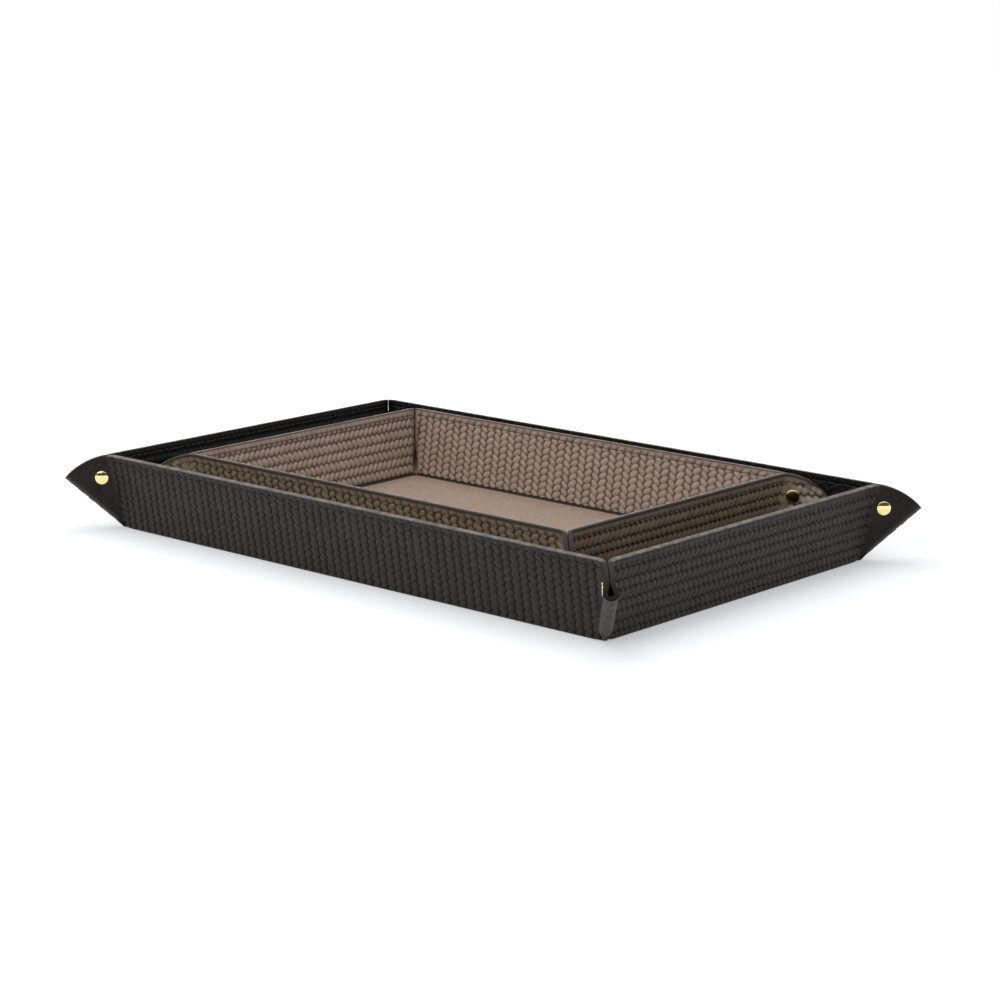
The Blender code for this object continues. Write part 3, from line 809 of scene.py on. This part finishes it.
class Ear:
    """A whole folded ear. u runs from the long wall's crease, -1, round the fold, 0, to the short wall's, 1.

    t runs from the toe at the base's corner out to the rim. Places in the ear's plane are given along the
    fold and across it, from the base's corner.
    """

    def __init__(self, corner):
        self.corner = corner
        self.tray = corner.tray
        tangent = CREASE_RADIUS * math.tan(corner.turn / 2)
        self.offset = corner.offset - tangent
        self.low = TOE_START
        self.ply_along = np.array((math.cos(PLY_ANGLE), math.sin(PLY_ANGLE)))
        self.ply_off = np.array((-math.sin(PLY_ANGLE), math.cos(PLY_ANGLE)))
        self.rim_height = math.sqrt(WALL_SLANT**2 - self.offset**2)
        low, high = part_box("%s_%s_snap_stud" % (corner.tray.name, corner.name))
        snap = (np.array(low) + np.array(high)) / 2 - corner.point
        self.snap_place = (snap @ corner.fold, snap @ corner.across)
        rim_end = self.offset * self.ply_off + self.rim_height * self.ply_along
        self.rim_bow = rim_end[1] / WALL_SLANT
        self.length = 2 * self.arc_length(np.array([rim_end[1]]))[0]

    def depth(self, u):
        return np.full_like(u, EAR_PLY_DEPTH)

    def relief_at(self, u):
        most = EAR_RELIEF_SHARES[self.tray.name]
        return most + (SEAM_RELIEF_SHARE - most) * ramp(*PLY_CALM_SHARES, np.abs(u))

    def shade_at(self, u):
        return np.full_like(u, EAR_SHADES[self.tray.name])

    def painted_light_at(self, u):
        return np.full_like(u, EAR_PAINTED_LIGHT[self.tray.name])

    def wear_at(self, u):
        return np.zeros_like(u)

    def snap_pocket(self, u, t):
        """How deep the press stud's halves have sunk into the plies' inner faces at a place."""
        along, arc = self.plane_place(u, t)
        across, _ = self.section(arc, np.zeros_like(u))
        away = np.hypot(along - self.snap_place[0], across - self.snap_place[1])
        return SNAP_POCKET_DEPTH * (1 - ramp(SNAP_POCKET_RADIUS, SNAP_POCKET_RADIUS + EAR_STEP, away))

    def arc_length(self, across):
        """The length of the sheet's outer face from the fold's foot to that far across."""
        return np.interp(across, FOLD_ACROSS, FOLD_ARC)

    def edge(self, height):
        """The ear's edge at its crease, that far up it: places along the fold and across it."""
        along = self.offset * self.ply_off[0] + height * self.ply_along[0]
        across = self.offset * self.ply_off[1] + height * self.ply_along[1]
        return along, across

    def section(self, arc, inward):
        """Places across the fold and through the ear, from the length along the sheet's outer face."""
        length = np.abs(arc)
        across = np.interp(length, FOLD_ARC, FOLD_ACROSS) + inward * np.interp(length, FOLD_ARC, FOLD_OPENING)
        through = np.interp(length, FOLD_ARC, FOLD_THROUGH)
        through = through - inward * np.interp(length, FOLD_ARC, FOLD_RISING)
        return across, through * -np.sign(arc)

    def world(self, along, across, through):
        corner = self.corner
        place = np.outer(along, corner.fold) + np.outer(across, corner.across)
        return corner.point + place + np.outer(through, corner.long_side)

    def at_edge(self, sign, height, inward):
        along, across = self.edge(height)
        across = np.maximum(across, FOLD_LIFT + EDGE_LEAST_RISE)
        placed, through = self.section(sign * self.arc_length(across), inward)
        return self.world(along, placed, through)

    def plane_place(self, u, t):
        """The place in the ear's plane, and the length along the sheet's face from the fold."""
        share = (t - self.low) / (WALL_SLANT - self.low)
        fold_end = self.low + (WALL_SLANT - self.low) * share
        edge_along, edge_across = self.edge(self.rim_height * np.clip(share, 0, None))
        edge_across = np.maximum(edge_across, FOLD_LIFT + PLANE_LEAST_RISE)
        arc = u * self.arc_length(edge_across)
        across, _ = self.section(arc, np.zeros_like(u))
        bow = self.rim_bow * np.clip((across - FOLD_LIFT) / (edge_across - FOLD_LIFT), 0, 1)
        bend = (1 - np.sqrt(1 - bow**2)) / (1 - math.sqrt(1 - self.rim_bow**2))
        along = fold_end - (fold_end - edge_along) * bend
        return along, arc

    def at(self, u, t, inward):
        along, arc = self.plane_place(u, t)
        across, through = self.section(arc, inward)
        return self.world(along, across, through)

    def on_sheet(self, u, t):
        along, arc = self.plane_place(u, t)
        across, _ = self.section(arc, np.zeros_like(u))
        shift = self.corner.inset - self.corner.offset
        distance = np.hypot(along, across)
        angle = np.arctan2(across, along) * np.sign(arc)
        toward = np.cos(math.pi / 4 + angle), np.sin(math.pi / 4 + angle)
        side_x = distance * toward[0] - shift * math.cos(CREASE_TILT)
        side_y = distance * toward[1]
        flat = np.outer(side_y, self.corner.out_x) + np.outer(side_x, self.corner.out_y)
        flat = flat + self.corner.point
        return flat[:, 0], flat[:, 1]

    def along_rim(self, u):
        return u * self.length / 2

    def fold_smoothness(self, u, t):
        """1 on the round fold, where the leather is stretched smooth, and 0 out on the plies."""
        _, arc = self.plane_place(u, t)
        full, faded = (share * FOLD_SMOOTH_WIDTH for share in FOLD_SMOOTH_SHARES)
        return 1 - ramp(full, faded, np.abs(arc))


def smooth_nowhere(u, t):
    """No smooth-worn leather on this surface."""
    return np.zeros_like(u)


def ripples(t, across):
    """The small uneven wrinkles that the fold squeezes into its leather, from -1 to 1."""
    long_waves = np.sin(t / RIPPLE_PITCH + 2 * np.sin(3 * across))
    swell = 0.55 + 0.45 * np.sin(t / (3.7 * RIPPLE_PITCH) + 1.7)
    return 0.6 * long_waves * swell + 0.4 * np.sin(t / (0.37 * RIPPLE_PITCH) + 9 * across) * swell


def drawn_together(place, corner, v, under):
    """The places with the toe's lowest rows drawn together under the base's corner and turned level."""
    turn = np.clip(1 - v / TOE_RISE_SHARE, 0, 1) * math.pi / 2
    target = corner.point - TOE_REACH * corner.outward + np.outer(TOE_DEPTH * under, UP)
    level = (place - target) @ UP
    turned = target + (place - target) * np.cos(turn)[:, None]
    turned = turned - np.outer(level * np.cos(turn), UP)
    turned = turned + np.outer(level * (1 - np.sin(turn)), UP)
    return np.where(turn[:, None] > 0, turned, place)


def folded_piece(name, surface, step, smooth=smooth_nowhere, toe=False):
    """A doubled stretch of the whole sheet, cover outside and lining inside."""
    low = surface.low
    top = WALL_SLANT - RIM_LAP

    def shape(u, v, under):
        across = 2 * u - 1
        share = v
        if toe:
            share = np.clip((v - TOE_RISE_SHARE) / (1 - TOE_RISE_SHARE), 0, 1)
        t = low + share * (top - low)
        x, y = surface.on_sheet(across, t)
        worn = smooth(across, t)
        relief = surface.relief_at(across)
        # Painted shade under the rim
        under_rim = UNDER_RIM_SHADES[surface.tray.name]
        rim = surface.along_rim(across)
        proud, values = pressed(x, y, rim, WALL_SLANT - t, worn, "cover", relief, under_rim)
        # Painted shade on the outer ears and their creases
        values["groove"] = np.maximum(values["groove"], surface.shade_at(across) * (1 - worn))
        # Rubbed folds, and painted light on the crowns of the inner ears' leaves
        values["rubbed"] = np.maximum(worn, values["crown"] * surface.painted_light_at(across))
        ripple = RIPPLE_DEPTH * ripples(t, across) * worn
        depth = surface.depth(across)
        if toe:
            depth = depth - surface.snap_pocket(across, t)
        inward = np.where(under > 0.5, depth, -(proud * (1 - worn) + ripple))
        place = surface.at(across, t, inward)
        if toe:
            place = drawn_together(place, surface.corner, v, under)
        return place, values

    columns = 2 * max(2, round(surface.length / step / 2))
    rows = round((top - low) / step) + (TOE_ROWS if toe else 0)
    tray = surface.tray.name
    piece = shaped_piece(name, columns, rows, shape, [COVERS[tray], LININGS[tray]], "grid", toe)
    return piece


def bend_across(piece, tray, bodies, start, end):
    """On the outer tray the piece stays in place, fixed in the world. On the inner tray it moves with the
    tray.
    """
    if tray.name == "outer":
        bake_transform(piece)
    else:
        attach(piece, "inner_tray")


def ply_body(corner, which):
    return "%s_%s_ply" % (corner.name, which)


def hold_ear(piece, ear):
    """Holds the ear: in place on the outer tray, and with the inner tray."""
    corner = ear.corner
    reach = FOLD_HINGE_REACH * corner.long_side
    bodies = (ply_body(corner, "long"), ply_body(corner, "short"))
    bend_across(piece, corner.tray, bodies, corner.point + reach, corner.point - reach)


def hold_crease(piece, crease):
    """The long wall's crease stays in place on the outer tray and moves with the inner tray. The short wall's
    is open between its two halves.
    """
    corner = crease.corner
    if not crease.on_long_side:
        on_wall = crease.part[0] == 0
        body = "outer_%s_wall" % corner.short_wall if on_wall else ply_body(corner, "short")
        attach(piece, corner.tray.body(body))
        return
    ends = crease.bend(np.array((0.0, 1.0)), np.zeros(2), np.zeros(2))
    bodies = ("outer_%s_wall" % corner.long_wall, ply_body(corner, "long"))
    bend_across(piece, corner.tray, bodies, *ends)


def hold_wall(piece, wall):
    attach(piece, wall.tray.body("outer_%s_wall" % wall.side))


# Every stretch of the folded sheet, by name, with the function that holds a piece on it
stretches = {}
for tray in trays.values():
    for side in SIDES:
        stretches["%s_%s_wall" % (tray.name, side)] = (Wall(tray, side), hold_wall)
    for corner in tray.corners:
        ear = Ear(corner)
        name = "%s_%s" % (tray.name, corner.name)
        piece = folded_piece(name + "_ear_leather", ear, EAR_STEP, ear.fold_smoothness, True)
        hold_ear(piece, ear)
        if tray.name == "outer":
            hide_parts(name + "_ear_long_ply", name + "_ear_short_ply")
        else:
            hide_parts(name + "_ear")
        stretches[name + "_ear"] = (ear, hold_ear)
        halves = [
            ("long_crease", Crease(ear, True)),
            ("short_crease_wall_half", Crease(ear, False, (0.0, 0.5))),
            ("short_crease_ply_half", Crease(ear, False, (0.5, 1.0))),
        ]
        for half_name, crease in halves:
            piece = folded_piece("%s_%s_leather" % (name, half_name), crease, FINE_STEP)
            hold_crease(piece, crease)
            stretches["%s_%s" % (name, half_name)] = (crease, hold_crease)

# The painted edges. The cut edge of the sheet is sealed with a bead of edge paint all along each rim. It is
# burnished round, and the light it catches on the rims is painted into its colour as a pale painted
# highlight.
BEAD_PROUD = 0.08 * MM
BEAD_RISE = 0.1 * MM
BEAD_LAP = 0.5 * MM
BEAD_STEP = 1.6 * MM
BEAD_SIDES = 16
BEAD_FULLNESS = 0.65
# From how far through the sheet each tray's edge paint carries its painted highlight
PALE_FROM_SHARES = {"outer": -0.2, "inner": 0.5}
PALE_BY_SHARE = 0.12
# How deep the grain in the paint is
PAINT_GRAIN_DEPTH = 0.08 * MM


def painted_edge(name, own_colour, colour, pale_highlight):
    """Edge paint in its own dark colour, with a patchy pale painted highlight along the rims."""
    material, tree, shader = new_material(name)
    place = place_on_sheet(tree)
    grain = grain_at(tree, place)
    patches = spread(tree, noise(tree, place, 240.0, Detail=5.0), 0.4, 0.65)
    # A patchy pale painted highlight
    rubbed = mixed(tree, patches, (*colour, 1), (*pale_highlight, 1))
    inputs = {
        "Base Color": mixed(tree, mask(tree, "wear"), (*own_colour, 1), rubbed),
        "Roughness": calculate(tree, "MULTIPLY_ADD", grain["Mottle"], 0.25, 0.36),
        "Specular IOR Level": 0.1,
        "Normal": fine_relief(tree, grain["Height"], 0.3, PAINT_GRAIN_DEPTH),
    }
    feed(tree, shader, inputs)
    return material


EDGE_PAINTS = {
    "outer": painted_edge("dark_edge_paint", (0.006, 0.005, 0.0045), (0.1, 0.088, 0.078), (0.2, 0.18, 0.16)),
    "inner": painted_edge("taupe_edge_paint", (0.011, 0.0085, 0.007), (0.19, 0.15, 0.12), (0.34, 0.28, 0.24)),
}


def round_run(name, surface, columns, sides, section, material):
    """A closed round piece that runs along a surface.

    section takes u and the turn about the piece's own middle, and gives the place up the sheet and into it.
    """

    def shape(u, v, under):
        across = 2 * u - 1
        t, inward = section(across, 2 * math.pi * v)
        pale_from = PALE_FROM_SHARES[surface.tray.name]
        # Painted highlight along the rims, on the pale part of each bead
        pale = ramp(pale_from, pale_from + PALE_BY_SHARE, inward / surface.depth(across))
        return surface.at(across, t, inward), {"wear": surface.wear_at(across) * pale}

    return shaped_piece(name, columns, sides, shape, [material], None, True)


def bead_section(surface):
    """The bead's round section, a little proud of the sheet on each side and lapped over its edge."""

    def section(across, turn):
        half_depth = surface.depth(across) / 2 + BEAD_PROUD
        half_height = (BEAD_LAP + BEAD_RISE) / 2
        over = np.sign(np.cos(turn)) * np.abs(np.cos(turn)) ** BEAD_FULLNESS
        up = np.sign(np.sin(turn)) * np.abs(np.sin(turn)) ** BEAD_FULLNESS
        t = WALL_SLANT + BEAD_RISE - half_height + half_height * up
        return t, surface.depth(across) / 2 + half_depth * over

    return section


for name, (surface, hold) in stretches.items():
    columns = 2 * max(2, round(surface.length / BEAD_STEP / 2))
    paint = EDGE_PAINTS[surface.tray.name]
    piece = round_run(name + "_edge_bead", surface, columns, BEAD_SIDES, bead_section(surface), paint)
    hold(piece, surface)

# The stitching. One row of lockstitch runs round below each rim. Its thread lies in the seam's groove and
# dips into a hole at each end of every stitch.
THREAD_RADIUS = 0.3 * MM
THREAD_SUNK = 0.1 * MM
STRAND_DEPTH = 0.08 * MM
THREAD_DIP = 0.75 * MM
# How far from a hole's middle the thread is at its lowest, and how far before it has risen again
DIP_BED = 0.2 * MM
DIP_REACH = 1.2 * MM
# How many steps the thread's mesh takes in one stitch
THREAD_COLUMNS = 8
THREAD_SIDES = 6


def thread_material(name, colour, pale):
    """Waxed thread, whose twist shows as fine slanting strands."""
    material, tree, shader = new_material(name)
    waves = {"Vector": place_on_sheet(tree), "Scale": 700.0}
    strands = add_node(tree, "ShaderNodeTexWave", waves, bands_direction="DIAGONAL").outputs["Fac"]
    inputs = {
        "Base Color": mixed(tree, strands, (*colour, 1), (*pale, 1)),
        "Roughness": 0.55,
        "Normal": fine_relief(tree, strands, 0.5, STRAND_DEPTH),
    }
    feed(tree, shader, inputs)
    return material


THREADS = {
    ("outer", "cover"): thread_material("dark_thread", (0.008, 0.0065, 0.006), (0.02, 0.0165, 0.0155)),
    ("inner", "cover"): thread_material("brown_thread", (0.04, 0.03, 0.022), (0.09, 0.068, 0.05)),
    ("inner", "lining"): thread_material("taupe_thread", (0.035, 0.021, 0.016), (0.09, 0.06, 0.045)),
}
THREADS["outer", "lining"] = THREADS["outer", "cover"]


def thread_section(surface, layer):
    """The thread's round section, which goes down where it nears a hole."""

    def section(across, turn):
        along = surface.along_rim(across) / STITCH_PITCH
        from_hole = np.abs(along - np.round(along)) * STITCH_PITCH
        dip = THREAD_DIP * (1 - ramp(DIP_BED, DIP_REACH, from_hole))
        t = WALL_SLANT - STITCH_BELOW_RIM + THREAD_RADIUS * np.sin(turn)
        depth = dip + THREAD_SUNK + THREAD_RADIUS * np.cos(turn)
        return t, depth if layer == "cover" else surface.depth(across) - depth

    return section


for name, (surface, hold) in stretches.items():
    for layer in ("cover", "lining"):
        if layer == "lining" and not isinstance(surface, Wall):
            continue
        columns = 2 * max(3, round(surface.length / STITCH_PITCH * THREAD_COLUMNS / 2))
        thread = THREADS[surface.tray.name, layer]
        section = thread_section(surface, layer)
        piece = round_run("%s_%s_thread" % (name, layer), surface, columns, THREAD_SIDES, section, thread)
        hold(piece, surface)

# The base. Its cover leather carries the plait on its underside and rolls up into each wall. On top, the
# smooth floor lining turns up into each wall's lining.
FLOOR_CREASE_REACH = 1.6 * MM
BASE_CORNER_CUT = 3.4 * MM
COVER_ROLL_END = 2.6 * MM
FLOOR_ROLL_END = 4.6 * MM
ROLL_ROWS = 7
ROLL_WEAR = 0.15
FLOOR_SEAM_SHADE = 0.95
FLOOR_STREAK_DEPTH = 0.1 * MM


def underside(tray):
    """The base's cover leather, flat on top, with its pressed leaves resting on what the tray stands on."""
    half_length = tray.length / 2 - WALL_FOOT
    half_width = tray.width / 2 - WALL_FOOT

    def shape(u, v, under):
        x = (2 * u - 1) * half_length
        y = (2 * v - 1) * half_width
        over = np.abs(x) + np.abs(y) - half_length - half_width + BASE_CORNER_CUT
        cut = np.maximum(over, 0) / 2
        x = x - np.sign(x) * cut
        y = y - np.sign(y) * cut
        proud, values = pressed(x, y, x, np.full_like(x, WALL_SLANT), np.zeros_like(x))
        z = tray.height + np.where(under > 0.5, COVER_DEPTH, LEAF_PROUD - proud)
        return np.column_stack((x, y, z)), values

    columns = round(2 * half_length / UNDERSIDE_STEP)
    rows = round(2 * half_width / UNDERSIDE_STEP)
    piece = shaped_piece("%s_base_cover_leather" % tray.name, columns, rows, shape, [COVERS[tray.name]])
    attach(piece, tray.body("outer_base"))
    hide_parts(tray.name + "_base_cover")


# The lining's bend beside each floor. The inner tray's is a darker copy of its lining: painted shade in the
# bend
SHADED_FLOOR_SEAMS = {
    "outer": LININGS["outer"],
    "inner": embossed_leather(
        "taupe_floor_seam", (0.07, 0.046, 0.034), (0.022, 0.014, 0.01), (0.12, 0.082, 0.062),
        (0.07, 0.046, 0.034), 0.6, 0.15,
    ),
}


def base_roll(wall, layer):
    """The rounded bend between the base and a wall, in the cover leather or in the lining."""
    tray = wall.tray
    full_turn = math.pi / 2 - WALL_LEAN
    if layer == "cover":
        reach = WALL_FOOT
        edge = wall.reach
        low = 0.0
        half = wall.half_edge - COVER_ROLL_END
        depth = -COVER_DEPTH
    else:
        reach = FLOOR_CREASE_REACH
        edge = wall.reach - SHEET_DEPTH * (1 - math.sin(WALL_LEAN)) / math.cos(WALL_LEAN)
        low = SHEET_DEPTH
        half = wall.half_edge - FLOOR_ROLL_END
        depth = LINING_DEPTH
    radius = reach / math.tan(full_turn / 2)
    middle = wall.outward * (edge - reach) + UP * (tray.height + low + radius)

    def rolled(along, turn, size):
        out = np.outer(size * np.sin(turn), wall.outward) - np.outer(size * np.cos(turn), UP)
        return middle + np.outer(along, wall.along) + out

    def shape(u, v, under):
        along = (2 * u - 1) * half
        turn = v * full_turn
        flat = np.outer(along, wall.along) + np.outer(wall.reach - reach + radius * turn, wall.outward)
        below = np.full_like(u, WALL_SLANT)
        _, values = pressed(flat[:, 0], flat[:, 1], along, below, np.full_like(u, ROLL_WEAR), layer)
        if layer == "lining":
            # The whole bend is painted shade
            values["groove"] = np.maximum(values["groove"], FLOOR_SEAM_SHADE)
        size = np.where(under > 0.5, radius + depth, radius)
        return heeled(rolled(along, turn, size), tray), values

    columns = round(2 * half / (2 * FINE_STEP))
    material = (COVERS if layer == "cover" else SHADED_FLOOR_SEAMS)[tray.name]
    name = "%s_%s_%s_roll" % (tray.name, wall.side, layer)
    piece = shaped_piece(name, columns, ROLL_ROWS, shape, [material, material], "grid")
    ends = rolled(np.zeros(2), np.array((0.0, full_turn)), radius)
    bend_across(piece, tray, ("outer_base", "outer_%s_wall" % wall.side), *ends)


def place_on_tray(tree):
    """The place on a piece that keeps its shape."""
    return add_node(tree, "ShaderNodeTexCoord").outputs["Object"]


def floor_leather(name, colour, pale, deep, roughness):
    """Smooth floor lining: fine streaks along the hide, soft clouds and a close grain."""
    material, tree, shader = new_material(name)
    place = place_on_tray(tree)
    grain = grain_at(tree, place)
    drawn = add_node(tree, "ShaderNodeMapping", {"Vector": place, "Scale": (0.12, 1.0, 1.0)})
    streaks = noise(tree, drawn.outputs[0], 520.0, Detail=5.0, Roughness=0.6)
    base = mixed(tree, streaks, (*colour, 1), (*pale, 1))
    base = mixed(tree, spread(tree, grain["Height"], 0.05, 0.3, 0.55, 0.0), base, (*deep, 1))
    clouds = calculate(tree, "MULTIPLY_ADD", grain["Mottle"], 0.5, -0.1)
    height = calculate(tree, "MULTIPLY_ADD", streaks, 0.6, grain["Height"])
    inputs = {
        "Base Color": mixed(tree, clouds, base, (*pale, 1)),
        "Roughness": calculate(tree, "MULTIPLY_ADD", streaks, 0.2, roughness - 0.1),
        "Specular IOR Level": 0.3,
        "Normal": fine_relief(tree, height, 0.4, FLOOR_STREAK_DEPTH),
    }
    feed(tree, shader, inputs)
    return material


FLOORS = {
    "outer": floor_leather(
        "dark_floor", (0.008, 0.0075, 0.0075), (0.015, 0.014, 0.014), (0.004, 0.004, 0.004), 0.55
    ),
    "inner": floor_leather(
        "taupe_floor", (0.28, 0.2, 0.15), (0.39, 0.29, 0.225), (0.11, 0.075, 0.055), 0.6
    ),
}
for tray in trays.values():
    underside(tray)
    for side in SIDES:
        wall = stretches["%s_%s_wall" % (tray.name, side)][0]
        base_roll(wall, "cover")
        base_roll(wall, "lining")
    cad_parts[tray.name + "_base_lining"].material_slots[0].material = FLOORS[tray.name]

# The stiffening boards. A pressed fibre board lies between the two leathers of the base and of each wall,
# glued to both, and stops short of the creases so that they can bend.
BOARD_COLOUR = (0.3, 0.27, 0.23, 1)
BOARD_FLECK = (0.16, 0.14, 0.12, 1)
FIBRE_DEPTH = 0.1 * MM


def fibre_board():
    """Pressed fibres, matt and flecked."""
    material, tree, shader = new_material("pressed_fibre_board")
    fibres = noise(tree, place_on_tray(tree), 800.0, Detail=6.0, Distortion=1.5)
    inputs = {
        "Base Color": mixed(tree, spread(tree, fibres, 0.35, 0.6), BOARD_FLECK, BOARD_COLOUR),
        "Roughness": 0.9,
        "Normal": fine_relief(tree, fibres, 0.5, FIBRE_DEPTH),
    }
    feed(tree, shader, inputs)
    return material


FIBRE_BOARD = fibre_board()
for node_name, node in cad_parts.items():
    if node_name.endswith("_board"):
        node.material_slots[0].material = FIBRE_BOARD

# The brass. Each ear is shut by a press stud: a domed cap on either side of it, a post through the
# leather, and a stud that snaps into a socket between the plies.
CAP_RADIUS = 4.4 * MM
CAP_EDGE_RADIUS = 0.3 * MM
CAP_DOME_SLOPE = math.radians(17.5)
POST_RADIUS = 1.4 * MM
SNAP_SEAT = 1.8 * MM
FLANGE_RADIUS = 3.2 * MM
FLANGE_DEPTH = 0.6 * MM
STUD_RADIUS = 1.6 * MM
# The stud's neck, the height of its widest place over its tip, and its tip, beside its radius
STUD_NECK_SHARE = 0.8
STUD_BULGE_SHARE = 0.5
STUD_TIP_SHARE = 0.7
SOCKET_RADIUS = 3.4 * MM
SOCKET_DEPTH = 1.4 * MM
FIT_GAP = 0.3 * MM
SCUFF_DEPTH = 0.02 * MM
TURNED_STEPS = 40
CAP_EDGE_STEPS = 9
CAP_DOME_STEPS = 12
# Faces that meet at more than this are a turned edge
TURNED_EDGE_ANGLE = math.radians(35)


def brass():
    """Polished brass, with a thin haze and fine scuffs."""
    material, tree, shader = new_material("yellow_brass")
    place = place_on_tray(tree)
    haze = noise(tree, place, 420.0, Detail=4.0)
    scuffs = noise(tree, place, 2600.0)
    inputs = {
        "Base Color": mixed(tree, haze, (0.9, 0.72, 0.3, 1), (0.96, 0.82, 0.42, 1)),
        "Metallic": 1.0,
        "Roughness": calculate(tree, "MULTIPLY_ADD", haze, 0.1, 0.05),
        "Normal": fine_relief(tree, scuffs, 0.15, SCUFF_DEPTH),
    }
    feed(tree, shader, inputs)
    return material


BRASS = brass()


def turned_piece(name, profile, place):
    """A piece turned about its own Z from a profile of radius and height, then put in place."""
    form = bmesh.new()
    points = [form.verts.new((radius, 0, height)) for radius, height in profile]
    edges = [form.edges.new(pair) for pair in zip(points, points[1:])]
    bmesh.ops.spin(
        form,
        geom=points + edges,
        axis=(0, 0, 1),
        cent=(0, 0, 0),
        angle=2 * math.pi,
        steps=TURNED_STEPS,
        use_merge=True,
    )
    bmesh.ops.remove_doubles(form, verts=form.verts, dist=WELD_REACH)
    bmesh.ops.recalc_face_normals(form, faces=form.faces)
    for face in form.faces:
        face.smooth = True
    bmesh.ops.transform(form, matrix=place, verts=form.verts)
    piece = finished_piece(name, form, [BRASS])
    piece.data.set_sharp_from_angle(angle=TURNED_EDGE_ANGLE)
    return piece


def cap_profile():
    """The cap: a shallow dome from its top down to its rolled edge, and in to the post."""
    middle = (CAP_RADIUS - CAP_EDGE_RADIUS, EAR_HALF_DEPTH + CAP_EDGE_RADIUS)
    turns = np.linspace(math.pi / 2 - CAP_DOME_SLOPE, -math.pi / 2, CAP_EDGE_STEPS)
    edge = [
        (middle[0] + CAP_EDGE_RADIUS * math.cos(t), middle[1] + CAP_EDGE_RADIUS * math.sin(t)) for t in turns
    ]
    dome_radius = edge[0][0] / math.sin(CAP_DOME_SLOPE)
    dome_middle = edge[0][1] - dome_radius * math.cos(CAP_DOME_SLOPE)
    slopes = np.linspace(0, CAP_DOME_SLOPE, CAP_DOME_STEPS)[:-1]
    dome = [(dome_radius * math.sin(s), dome_middle + dome_radius * math.cos(s)) for s in slopes]
    return dome + edge + [(POST_RADIUS, EAR_HALF_DEPTH)]


def stud_profile():
    """The cap, its post, the flange against the ply and the stud, whose tip clears the socket's floor."""
    flange = SNAP_SEAT - FIT_GAP
    socket_floor = 2 * FIT_GAP - SNAP_SEAT
    tip = socket_floor + FIT_GAP
    return cap_profile() + [
        (POST_RADIUS, flange),
        (FLANGE_RADIUS, flange),
        (FLANGE_RADIUS, flange - FLANGE_DEPTH),
        (STUD_RADIUS * STUD_NECK_SHARE, flange - FLANGE_DEPTH),
        (STUD_RADIUS, tip + STUD_RADIUS * STUD_BULGE_SHARE),
        (STUD_RADIUS * STUD_TIP_SHARE, tip),
        (0.0, tip),
    ]


def socket_profile():
    """The cap, its post and the socket, which is open towards the stud."""
    top = SNAP_SEAT - FIT_GAP
    return cap_profile() + [
        (POST_RADIUS, top),
        (SOCKET_RADIUS, top),
        (SOCKET_RADIUS, top - SOCKET_DEPTH),
        (STUD_RADIUS + FIT_GAP, top - SOCKET_DEPTH),
        (STUD_RADIUS + FIT_GAP, top - FIT_GAP),
        (0.0, top - FIT_GAP),
    ]


for tray in trays.values():
    for corner in tray.corners:
        for half, which, profile in (("stud", "long", stud_profile()), ("socket", "short", socket_profile())):
            node = "%s_%s_snap_%s" % (tray.name, corner.name, half)
            low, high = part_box(node)
            out = Vector(corner.long_side) * (1 if which == "long" else -1)
            across = Vector(corner.across)
            middle = (Vector(low) + Vector(high)) / 2
            axis_point = middle - out * (middle - Vector(corner.point)).dot(out)
            turned = Matrix((across, out.cross(across), out)).transposed().to_4x4()
            piece = turned_piece(node + "_brass", profile, Matrix.Translation(axis_point) @ turned)
            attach(piece, tray.body(ply_body(corner, which)))
            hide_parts(node)
